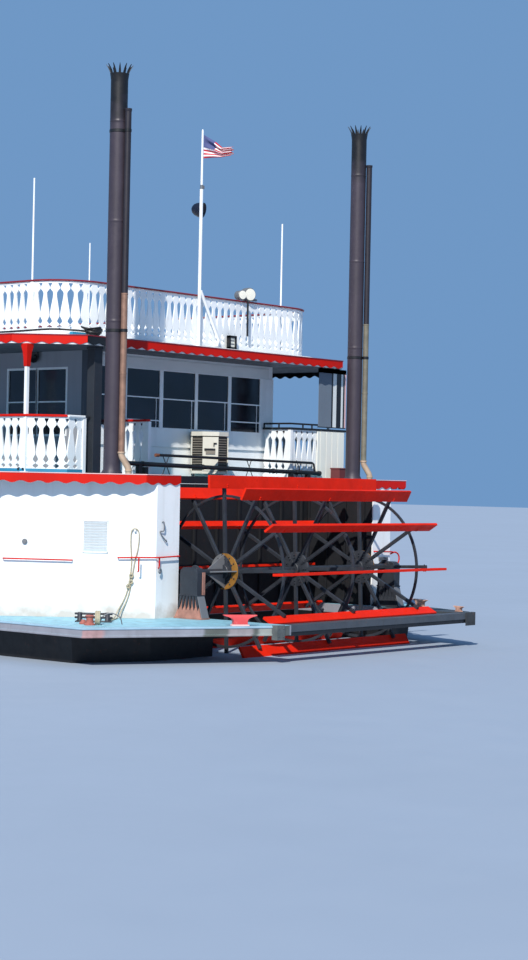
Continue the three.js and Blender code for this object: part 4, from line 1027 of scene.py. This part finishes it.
def make_guard_strips():
    bow = arc(7.6, 0, 10.22, GUARD_Y, 90, 0, 24)
    line = [(BEAM_X, BEAM_END_Y), (-16.04, GUARD_Y), *bow, *mirror(bow)[1:], (-12.9, -GUARD_Y),
            (-15.57, -4.025), (-17.54, -3.34), (BEAM_X, -BEAM_END_Y)]
    strip = Shape()
    for number, z in ((0, DECK - 0.02), (1, DECK - 0.16)):
        strip.paint = number
        strip.sweep(line, [(-0.01, -0.018), (0.012, -0.018), (0.018, 0), (0.012, 0.018), (-0.01, 0.018)], z)
    finish("guard_edge_strips", strip, [RIM, DECK_PAINT])


def make_well_lining():
    """Dark plates with ribs on the house walls around the wheel."""
    lining, low, high = Shape(), DECK + 0.01, FIRST_UNDER - 0.01
    inner = HOUSE_WELL_Y - 0.012
    for side, _ in SIDES:
        for x0, x1, far, near in ((HOUSE_STERN_X + 0.03, HOUSE_WELL_X, HOUSE_WELL_Y, inner),
                                  *((x, x + 0.03, inner, HOUSE_WELL_Y - 0.05) for x in
                                    (HOUSE_STERN_X + 0.2 + 0.5 * k for k in range(4)))):
            y0, y1 = sorted((far * side, near * side))
            lining.box((x0, y0, low), (x1, y1, high))
    lining.box((HOUSE_WELL_X - 0.012, -inner, low), (HOUSE_WELL_X, inner, high))
    for y in (-2.8 + 0.7 * k for k in range(9)):
        lining.box((HOUSE_WELL_X - 0.06, y - 0.02, low), (HOUSE_WELL_X - 0.012, y + 0.02, high))
    finish("well_lining", lining, WELL)


# Kevels

def make_kevel(side, name):
    """Two round bars through two posts on a plate, along the quarter wall."""
    way, off = KEVEL if side > 0 else (2.0, 0.32)

    def at(along, across, up):
        return on_quarter(way + along, off + across, DECK + up, side)
    kevel = Shape()
    kevel.loft([[at(a, b, up) for a, b in corners(0.33, 0.09)] for up in (0, 0.02)])
    for along in (-0.25, 0.25):
        kevel.turned([(0.055, 0.02), (0.045, 0.035), (0.044, 0.16), (0.04, 0.172), (0.02, 0.175)],
                     at(along, 0, 0), sides=22)
    for up in (0.08, 0.148):
        bar = [at(along, 0, up) for along in (-0.345, -0.335, 0.335, 0.345)]
        kevel.tube(bar, [0.013, 0.02, 0.02, 0.013], 14)
    for a, b in corners(0.29, 0.06):
        kevel.bolt(at(a, b, 0.02), UP, 0.016, 0.012)
    finish(f"kevel_{name}", kevel, IRON, replaces=f"bitts_{name}", bevel=0.003)


# A flared kevel: height, half length, half width
FLARE = ((0.0, 0.165, 0.080), (0.020, 0.162, 0.078), (0.030, 0.132, 0.068), (0.095, 0.132, 0.068),
         (0.125, 0.150, 0.066), (0.150, 0.190, 0.065), (0.170, 0.250, 0.063), (0.185, 0.306, 0.060),
         (0.200, 0.312, 0.056))


def make_flared_kevel(name, place, heading, size, paints, replaces=None):
    """A kevel whose stem widens to a long head."""
    turn = spin((*place, DECK), heading) @ Matrix.Scale(size, 4)
    rings = [[turn @ Vector((a, b, up)) for a, b in corners(*half)] for up, *half in FLARE]
    kevel = Shape()
    kevel.loft(rings[2:])
    kevel.paint = 1
    kevel.loft(rings[:3])
    finish(name, kevel, paints, replaces=replaces, bevel=0.006 * size)


def make_flared_kevels():
    tan = [FADED_TAN, FADED_TAN]
    make_flared_kevel("stern_kevel_port", (-17.35, 3.745), 55, 1.0, [FADED_RED, PINK_LIP], "kevel_stern_port")
    make_flared_kevel("stern_kevel_starboard", (-17.42, -3.16), -22, 0.55, tan, "kevel_stern_starboard")
    make_flared_kevel("side_kevel_starboard", (-16.05, -3.72), -22, 0.8, tan)


# Deck furniture

def make_condenser():
    x, y = CONDENSER
    low, high = FIRST, FIRST + 0.9
    unit = Shape()
    for number, far, near, z0, z1 in (
            (0, 0.4, 0.155, high - 0.05, high + 0.04), (0, 0.385, 0.15, low + 0.06, low + 0.12),
            (0, 0.3, 0.12, low, low + 0.06), (3, 0.36, 0.14, low + 0.12, high - 0.05)):
        unit.paint = number
        octagon = [(-far, -near), (-near, -far), (near, -far), (far, -near)]
        unit.prism([(x + a, y + b) for a, b in octagon + [(-a, -b) for a, b in octagon]], z0, z1)
    unit.paint = 0
    for dx, dy in corners(0.268, 0.268):
        unit.box((-0.012, -0.165, low + 0.12), (0.012, 0.165, high - 0.07),
                 Matrix.Translation((x + dx, y + dy, 0)) @ Matrix.Rotation(atan2(dy, dx), 4, "Z"))
    unit.paint = 1
    for z in (low + 0.16 + k * 0.051 for k in range(13)):
        for angle in (0, 90, 180, 270):
            unit.box((0.355, -0.145, z), (0.382, 0.145, z + 0.018), spin((x, y, 0), angle))
    turn = spin((x - 0.282, y + 0.282, low), 135)
    unit.boxes(((0, 0.014, -0.13, 0.1, 0.545, 0.59, 2), (0, 0.012, 0.06, 0.13, 0.68, 0.71, 2),
                (0, 0.012, 0.06, 0.08, 0.63, 0.71, 2), (0, 0.01, -0.10, 0.1, 0.47, 0.545, 1)), turn)
    finish("cooling_unit", unit, [CREAM, LOUVRE, BLACK, LOUVRE_GAP_SHADE],
           replaces="condenser", bevel=0.004)


def make_pipe_rack():
    """Two long black pipes on low stands along the first deck's stern edge."""
    rack, x, along = Shape(), RACK_X, (0, 1, 0)
    (y0, z0), (y1, z1) = (2.659, 4.619), (-3.532, 4.518)
    rack.tube([(x, 1.753, 4.799), (x, -3.238, 4.745)], 0.028, 16)
    rack.tube([(x, y0, z0), (x, y1, z1)], 0.045, 18)
    for y in (2.64, 2.2, 0.4, -1.9, -2.7, -3.5):
        rack.collar((x, y, z0 + (z1 - z0) * (y - y0) / (y1 - y0)), along, 0.046, 0.056, 0.03, 0.024, 18)
    for y in (1.5, -1.1, -2.8):
        rack.tube([(x - 0.02, y - 0.09, FIRST + 0.01), (x, y + 0.11, FIRST + 0.4)], 0.009)
        rack.tube([(x + 0.02, y + 0.09, FIRST + 0.01), (x, y - 0.06, FIRST + 0.37)], 0.009)
        rack.box((x - 0.044, y - 0.13, FIRST), (x + 0.044, y + 0.13, FIRST + 0.014))
    for y, high in ((2.3, 0.2), (2.12, 0.16), (-2.5, 0.12), (-3.1, 0.14)):
        rack.box((x - 0.04, y - 0.05, FIRST), (x + 0.04, y + 0.05, FIRST + high))
    rack.tube([(x, -3.238, 4.745), (x, -3.30, 4.72), (x, -3.33, 4.60), (x, -3.34, FIRST + 0.1)], 0.022)
    rack.paint = 1
    rack.turned([(0.034, -0.05), (0.034, 0.05)], (x, 1.78, 4.795), along, 16)
    finish("pipes_on_stands", rack, [BLACK, RUSTY], replaces="pipe_rack")


def make_name_board():
    board = Shape()
    board.box((CABIN_X - 0.03, -2.75, FIRST + 2.2), (CABIN_X, 2.75, FIRST + 2.42))
    finish("bare_name_board", board, PALE_BLUE, bevel=0.006)


def make_column():
    """The dark box column at the aft end of the port rail."""
    column = Shape()
    column.boxes(((-13.42, -13.22, 3.40, 3.62, FIRST, SOFFIT),
                  (-13.45, -13.19, 3.36, 3.66, FIRST, FIRST + 0.025),
                  (-13.43, -13.21, 3.39, 3.63, SOFFIT - 0.05, SOFFIT),
                  (-13.335, -13.285, 3.60, 3.78, FIRST + 1.06, FIRST + 1.11)))
    finish("canopy_column", column, COLUMN, replaces="first_rail_port", bevel=0.008)


def make_screens():
    """On the starboard quarter: cloth screens under the canopy and boards over the rail below them."""
    x, y0, y1 = -13.39, -4.445, -3.459
    screens = Shape()
    edges = (y1, -3.911, -3.966, -4.094, -4.26, -4.334, -4.389, y0)
    for number, high, low in zip((0, 1, 2, 1, 2, 1, 3), edges, edges[1:]):
        screens.paint = number
        screens.box((x, low, FIRST + 1.17), (x + (0.012 if number in (0, 2) else 0.03), high, SOFFIT))
    screens.paint = 1
    for low, high in ((SOFFIT - 0.1, SOFFIT), (FIRST + 1.15, FIRST + 1.17)):
        screens.box((x, y0, low), (x + 0.034, y1, high))
    finish("quarter_screens", screens, [SCREEN, BLACK, PALE_BLUE, PINK_LIP])
    boards = Shape()
    edges = (y1, -3.567, -3.78, -3.98, -4.20, -4.44)
    for high, low in zip(edges, edges[1:]):
        boards.box((x + 0.02, low + 0.006, FIRST + 0.02), (x + 0.04, high - 0.006, FIRST + 1.06))
    finish("quarter_boards", boards, BOARD, bevel=0.004)
    locker = Shape()
    locker.boxes(((-13.75, -13.5, -4.14, -3.79, FIRST, FIRST + 0.23),
                  (-13.76, -13.49, -4.15, -3.78, FIRST + 0.23, FIRST + 0.26)))
    finish("deck_locker", locker, BRICK, bevel=0.006)


# Fittings on the quarter walls

def make_quarter_fittings():
    """Louvres and hand rails on both quarters."""
    s0, s1, z0, z1, bar, slats = 0.905, 1.379, 2.911, 3.519, 0.02, 11
    rails, louvre = Shape(), Shape()
    for side, _ in SIDES:
        turn = placed(on_quarter(0, 0, 0, side), (ALONG.x, ALONG.y * side, 0),
                      (OUTWARD.x, OUTWARD.y * side, 0))
        louvre.boxes(((s0, s0 + bar, 0, bar, z0, z1), (s1 - bar, s1, 0, bar, z0, z1),
                      (s0, s1, 0, bar, z0, z0 + bar), (s0, s1, 0, bar, z1 - bar, z1)), turn)
        for k in range(slats):
            tilt = turn @ spin((0, 0.004, z0 + 0.03 + (z1 - z0 - 0.05) * k / slats), -35, "X")
            louvre.box((s0 + 0.015, 0, 0), (s1 - 0.015, 0.005, 0.05), tilt)
        rails.tube([on_quarter(*point, side) for point in ((1.569, 0, 2.767), (1.569, 0.06, 2.767),
                                                           (2.86, 0.06, 2.778), (2.86, 0, 2.778))], 0.014)
        aft = side_of([(-15.29, 3.73), (-15.29, 3.13), (HOUSE_STERN_X, 3.13)], side)
        rails.tube([on_quarter(0.711, 0, 2.829, side), on_quarter(0.711, 0.06, 2.829, side),
                    on_quarter(0.35, 0.06, 2.84, side),
                    *[(*point, z) for point, z in zip(aft, (2.845, 2.862, 2.862))]], 0.014)
    finish("wall_louvres", louvre, WHITE)
    finish("wall_hand_rails", rails, RED)


def make_wall_hook():
    """By the rope's peg: a bent hook with a shackle, and a round light further forward."""
    hook = Shape()
    hook.bent([(-15.23, 3.56, 3.50), (-15.27, 3.56, 3.51), (-15.28, 3.555, 3.42), (-15.27, 3.56, 3.34),
               (-15.25, 3.63, 3.33), (-15.26, 3.60, 3.26), (-15.28, 3.52, 3.17), (-15.26, 3.46, 3.14),
               (-15.23, 3.45, 3.17)], 0.012)
    hook.turned([(0.05, 0), (0.05, 0.03), (0.035, 0.05)], on_quarter(2.464, 0.0, 3.10), OUTWARD, 20)
    hook.bent([(-15.27, 3.64, 2.69), (-15.30, 3.67, 2.64), (-15.30, 3.70, 2.58), (-15.29, 3.66, 2.55),
               (-15.27, 3.61, 2.58), (-15.27, 3.63, 2.64)], 0.014, steps=5, closed=True)
    finish("wall_hook_and_light", hook, GREY)


def make_rail_drops():
    drops = Shape()
    for x, y, low in ((-15.10, 4.04, 2.59), (-15.27, 3.66, 2.66)):
        drops.tube([(x, y, 2.84), (x, y, low), (x + 0.03, y - 0.01, low - 0.015)], 0.014)
    finish("hand_rail_drops", drops, RED)


def make_rope_knots():
    knots = Shape()
    for k, (s, up) in enumerate(((0.452, 0.80), (0.505, 0.60), (0.46, 0.68))):
        knot = oval(on_quarter(s, 0.045, DECK + up), (0.02, 0.028, 0), (0, 0, 0.035), 10, 0.7 * k)
        knots.tube(knot, 0.014, 8, closed=True)
    finish("rope_knots", knots, ROPE)


def make_starboard_wall_fittings():
    grab, vent = Shape(), Shape()
    grab.bent([(-15.25, -3.70, 2.80), (-15.30, -3.80, 2.84), (-15.31, -3.92, 2.78), (-15.31, -3.94, 2.66),
               (-15.30, -3.86, 2.56), (-15.25, -3.72, 2.58)], 0.016, 10)
    finish("starboard_grab_loop", grab, RED)
    vent.box((-15.25, -3.62, 2.66), (HOUSE_STERN_X, -3.30, 2.74))
    for z in (2.665 + 0.018 * k for k in range(4)):
        vent.box((-15.262, -3.61, z), (-15.25, -3.31, z + 0.008))
    finish("starboard_wall_vent", vent, GREY)


def make_deck_fittings():
    """By the port kevel: a rusty chock, the rope's eye and a wire loop."""
    chock, eye, wire = Shape(), Shape(), Shape()
    chock.turned([(0.10, 0.0), (0.10, 0.02), (0.07, 0.04), (0.06, 0.13), (0.09, 0.16), (0.06, 0.18)],
                 (-15.64, 5.84, DECK), sides=18)
    chock.turned([(0.07, 0.0), (0.075, 0.02), (0.045, 0.05), (0.035, 0.08)], (-15.40, 5.76, DECK), sides=18)
    finish("rusty_chock", chock, FADED_RUST)
    for k in range(3):
        middle = (-15.66 - 0.02 * k, 5.70 - 0.02 * k, DECK + 0.13)
        eye.tube(oval(middle, (0.07, -0.075, 0), (0, 0, 0.105), 18), 0.02, closed=True)
    finish("rope_eye", eye, ROPE)
    wire.bent([(-15.60, 5.55, DECK), (-15.63, 5.50, DECK + 0.14), (-15.74, 5.40, DECK + 0.20),
               (-15.85, 5.30, DECK + 0.13), (-15.88, 5.26, DECK)], 0.01, steps=8)
    finish("wire_loop", wire, GREY)


# Doors

def make_door(name, body, corner, across, out, wide):
    """On a door's outer face: a glazed light with its frame, a raised panel and a lever."""
    turn = placed(corner, across, out)
    leaf = Shape()
    side, low, high, edge, back = 0.15, 1.16, 1.78, 0.04, -0.002
    end = wide - side
    leaf.boxes(((side, end, back, 0.009, low, low + edge), (side, end, back, 0.009, high - edge, high),
                (side, side + edge, back, 0.009, low, high), (end - edge, end, back, 0.009, low, high),
                (side, end, back, 0.006, 0.24, low - 0.2),
                (side + 0.06, end - 0.06, back, 0.009, 0.30, low - 0.26),
                (side + edge, end - edge, back, 0.003, low + edge, high - edge, 1)), turn)
    leaf.paint = 2
    leaf.turned([(0.03, back), (0.03, 0.006), (0.014, 0.01), (0.012, 0.045)], turn @ Vector((0.07, 0, 1.02)),
                out, 16)
    lever = ((0.07, 0.042, 1.02), (0.12, 0.045, 1.018), (0.19, 0.042, 1.015))
    leaf.tube([turn @ Vector(point) for point in lever], 0.009)
    finish(name, leaf, [WHITE, GLASS, GREY], body, bevel=0.003)


def make_doors():
    casing = Shape()
    for side, name in SIDES:
        make_door(f"side_door_{name}", f"door_{name}", (-5.99, 5.56 * side, DECK + 0.01), (1, 0, 0),
                  (0, side, 0), 0.93)
        faces = sorted((5.565 * side, 5.588 * side))
        casing.boxes(((-6.06, -6.0, *faces, DECK + 0.02, DECK + 2.05),
                      (-5.028, -4.97, *faces, DECK + 0.02, DECK + 2.05),
                      (-6.06, -4.97, *faces, DECK + 2.05, DECK + 2.12)))
    make_door("wheelhouse_door", "door_pilothouse", (4.61, -0.41, ROOF + 0.01), (0, 1, 0), (-1, 0, 0), 0.82)
    finish("door_casings", casing, WHITE, bevel=0.003)


# Masts and flag

def make_masts():
    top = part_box("flagpole")[1].z
    x, y = FLAGPOLE
    seam = 10.38
    pole = Shape()
    pole.tube([(x, y, ROOF), (x, y, seam), (x, y, seam + 0.01), (x, y, top - 0.03), (x, y, top)],
              [0.036, 0.036, 0.026, 0.02, 0.01], 16)
    pole.tube([(x - 0.02, y - 0.015, 8.26), (x - 0.02, -0.456, 7.28), (x + 0.03, -0.456, 7.15)], 0.033, 12)
    pole.box((x - 0.01, y - 0.045, ROOF), (x + 0.09, y + 0.045, ROOF + 0.03))
    pole.paint = 1
    pole.collar((x, y, seam + 0.045), UP, 0.027, 0.032, 0.05, 0.045, 16)
    pole.box((x - 0.035, y - 0.05, seam + 0.01), (x - 0.02, y + 0.01, seam + 0.08))
    finish("flag_mast", pole, [WHITE, GREY], replaces="flagpole")
    for name in ("port", "middle", "starboard"):
        low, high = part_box(f"whip_{name}")
        x, y, radius = (low.x + high.x) / 2, (low.y + high.y) / 2, (high.x - low.x) / 2
        mast = Shape()
        mast.tube([(x, y, low.z), (x, y, low.z + 0.3), (x, y, low.z + 0.31), (x, y, high.z)],
                  [radius, radius, radius * 0.85, radius * 0.7], 12)
        mast.turned([(radius + 0.03, 0), (radius + 0.03, 0.015), (radius + 0.004, 0.05)], (x, y, low.z),
                    sides=16)
        finish(f"mast_{name}", mast, WHITE, replaces=f"whip_{name}")


def make_horn():
    horn, at = Shape(), Vector((-12.835, 0.045, 9.985))
    horn.turned([(0.0, -0.15), (0.05, -0.145), (0.10, -0.11), (0.135, -0.05), (0.155, 0.03), (0.162, 0.08),
                 (0.165, 0.10), (0.15, 0.10), (0.10, 0.02), (0.0, 0.0)], at, (-0.92, -0.3, -0.22), 28)
    horn.tube([(*FLAGPOLE, at.z), at + Vector((0.02, -0.01, 0))], 0.02)
    finish("mast_horn", horn, NAVY)


FLAG_SIZE, FLAG_FOLDS, FLAG_FOOT, FLAG_COLUMNS, FLAG_CELLS = (0.85, 0.49), 2.5, 11.027, 48, 60
# Way out from the pole, heights of the lower and upper edge over the flag's foot
FLAG_ROWS = ((0.0, 0.0, 0.49), (0.3, -0.015, 0.325), (0.5, -0.032, 0.18), (0.797, -0.018, 0.172))


def flag_edges(way):
    for first, second in zip(FLAG_ROWS, FLAG_ROWS[1:]):
        if way <= second[0]:
            share = (way - first[0]) / (second[0] - first[0])
            return [a + (b - a) * share for a, b in zip(first[1:], second[1:])]
    return FLAG_ROWS[-1][1:]


def fold_depth(height, cloth):
    """How deep the folds are that take up cloth of a length within a height."""
    deep, step, steps = 0.0, 0.0005, [i / 60 for i in range(61)]
    while deep < 0.05:
        if line_length([(deep * sin(tau * FLAG_FOLDS * t), height * t) for t in steps]) >= cloth:
            break
        deep += step
    return deep


def make_flag():
    """The cloth hangs from its hoist and is folded along the fly, deeper towards the free end."""
    hoist_x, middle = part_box("flag")[1].x, FLAGPOLE[1]
    points, uvs = [], []
    for u in (i / FLAG_COLUMNS for i in range(FLAG_COLUMNS + 1)):
        way = u * FLAG_ROWS[-1][0]
        low, high = flag_edges(way)
        deep = fold_depth(high - low, FLAG_SIZE[1])
        for v in (j / FLAG_CELLS for j in range(FLAG_CELLS + 1)):
            fold = deep * sin(tau * FLAG_FOLDS * v + 1.1 * u) * min(1, 6 * u)
            points.append((hoist_x - way, middle + fold, FLAG_FOOT + low + (high - low) * v))
            uvs.append((u, v))
    row = FLAG_CELLS + 1
    shape = Shape()
    shape.add(points, [[a, a + row, a + row + 1, a + 1] for i in range(FLAG_COLUMNS)
                       for a in range(i * row, i * row + FLAG_CELLS)])
    flag = finish("striped_flag", shape, FLAG_CLOTH, replaces="flag", smooth=180)
    layer = flag.data.uv_layers.new(name="cloth")
    for loop in flag.data.loops:
        layer.data[loop.index].uv = uvs[loop.vertex_index]


# Lamps, loudspeaker and cable

def make_loudspeaker():
    speaker = Shape()
    bell = [(0.06, 0.0), (0.08, 0.02), (0.132, 0.06), (0.136, 0.075), (0.12, 0.07), (0.05, 0.03)]
    for profile, sides in ((bell, 28), ([(0.03, 0.02), (0.04, 0.05), (0.02, 0.07)], 16)):
        speaker.turned(profile, (-11.03, 2.9, 6.77), (0, 1, 0), sides)
    finish("side_loudspeaker", speaker, BLACK)


def make_roof_lights():
    """The floodlight on the stern rail and the framed lamp below it."""
    light, axis = Shape(), Vector((-0.9, 0.3, 0))
    big, small = (-12.92, -1.5, 8.33), (-12.92, -1.25, 8.30)
    light.box((-12.98, -1.75, 8.21), (-12.86, -1.25, 8.25))
    light.collar(big, -axis, 0.14, 0.15, 0.1, 0.08, 28)
    light.collar(small, -axis, 0.08, 0.1, 0.1, 0.08)
    light.paint = 1
    light.turned([(0.12, 0.1), (0.125, 0.115), (0.05, 0.12)], big, axis, 28)
    light.turned([(0.085, 0.1), (0.09, 0.112), (0.03, 0.116)], small, axis)
    light.paint = 2
    light.tube([(-13.06, -1.345, 8.17), (-13.06, -1.35, 7.42)], 0.022)
    finish("rail_floodlight", light, [GREY, LAMP, BLACK])
    lamp = Shape()
    back, front, y0, y1, z0, z1 = -13.06, -12.98, -1.01, -0.77, 7.12, 7.40
    lamp.boxes(((back, front, y0, y0 + 0.045, z0, z1), (back, front, y1 - 0.045, y1, z0, z1),
                (back, front, y0, y1, z1 - 0.05, z1), (back, front, y0, y1, z0, z0 + 0.04),
                (back, front, y0 - 0.04, y1 + 0.04, z0 - 0.04, z0),
                (-13.04, -13.0, y0 + 0.04, y1 - 0.04, z0 + 0.03, z1 - 0.04, 1),
                (-13.045, -13.04, y0 + 0.06, y1 - 0.06, 7.21, 7.235, 2),
                (-13.045, -13.04, y0 + 0.06, y1 - 0.06, 7.28, 7.305, 2)))
    finish("stern_lamp", lamp, [BLACK, LAMP, GREY])


def make_roof_cable():
    """A cable along the port edge of the roof and its coil at the corner."""
    cable = Shape()
    cable.bent([(-9.4, 4.1, 7.15), (-10.6, 4.11, 7.165), (-11.8, 4.1, 7.175), (-12.6, 4.02, 7.19),
                (-13.05, 3.72, 7.17), (-13.18, 3.5, 7.15)], 0.02, 10, 8)
    for k in range(6):
        radius = 0.10 + 0.012 * k
        middle = (-13.16 + 0.05 * sin(1.7 * k), 3.42 + 0.03 * cos(2.3 * k), 7.06 + 0.034 * k)
        loop = [point + UP * 0.02 * sin(2 * tau * i / 20)
                for i, point in enumerate(oval(middle, (radius, 0, 0), (0, radius * 1.3, 0), 20))]
        cable.tube(loop, 0.019, 8, closed=True)
    cable.paint = 1
    cable.box((-13.14, 3.6, 7.06), (-13.05, 3.95, 7.13))
    finish("roof_cable_coil", cable, [BLACK, TEAL])


# Light and floor

def make_lights():
    sun = bpy.data.lights.new("sun", "SUN")
    sun.energy, sun.angle, sun.color = 4.7, radians(0.8), (1.0, 0.965, 0.90)
    lamp = bpy.data.objects.new("sun", sun)
    lamp.rotation_euler = Vector((-0.377, 0.680, 0.629)).to_track_quat("Z", "Y").to_euler()
    bpy.context.scene.collection.objects.link(lamp)
    world = bpy.data.worlds.new("soft_sky")
    world.use_nodes = True
    background = world.node_tree.nodes["Background"]
    background.inputs["Color"].default_value = srgb(124, 168, 218)
    background.inputs["Strength"].default_value = 0.8
    bpy.context.scene.world = world
    bpy.context.scene.view_settings.view_transform = "Standard"


def make_floor():
    floor, half = Shape(), 260
    floor.box((-half, -half, WATER - 0.02), (half, half, WATER))
    colour = paint("floor_paint", (156, 168, 184), 0.8, vary=0.96, scale=0.2, bump=0.02)
    new_object("floor", floor, colour)


make_camera()
make_rope()
make_lights()
make_floor()

repaint(HULL, "hull", "rudder_port", "rudder_starboard")
repaint(DECK_PAINT, "main_deck")
repaint(FIRST_PAINT, "first_deck")
repaint(ROOF_PAINT, "roof_deck")
repaint(RED, "pilothouse_roof")
repaint(GREY, "engine_block")
repaint(SHADE_WALL, "cabin_wall_port", "cabin_wall_starboard")
WALLS = ("lower_", "cabin_wall_stern", "cabin_wall_bow", "pilothouse_walls", "door_")
repaint(WALL, *[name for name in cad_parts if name.startswith(WALLS)])

for make in (make_stern_beam, make_guard_strips, make_wheel, make_well_lining, make_cabin_windows,
             make_lower_windows, make_roof_rail, make_stern_return, make_canopy_trim):
    make()
for side, name in SIDES:
    for make in (make_pedestal, make_first_rail, make_first_trim, make_stack, make_pipe, make_kevel):
        make(side, name)
for make in (make_name_board, make_column, make_condenser, make_pipe_rack, make_quarter_fittings,
             make_wall_hook, make_rail_drops, make_rope_knots, make_masts, make_horn, make_flag,
             make_flared_kevels, make_pilot_house, make_doors, make_screens, make_loudspeaker,
             make_roof_lights, make_roof_cable, make_starboard_wall_fittings, make_deck_fittings):
    make()
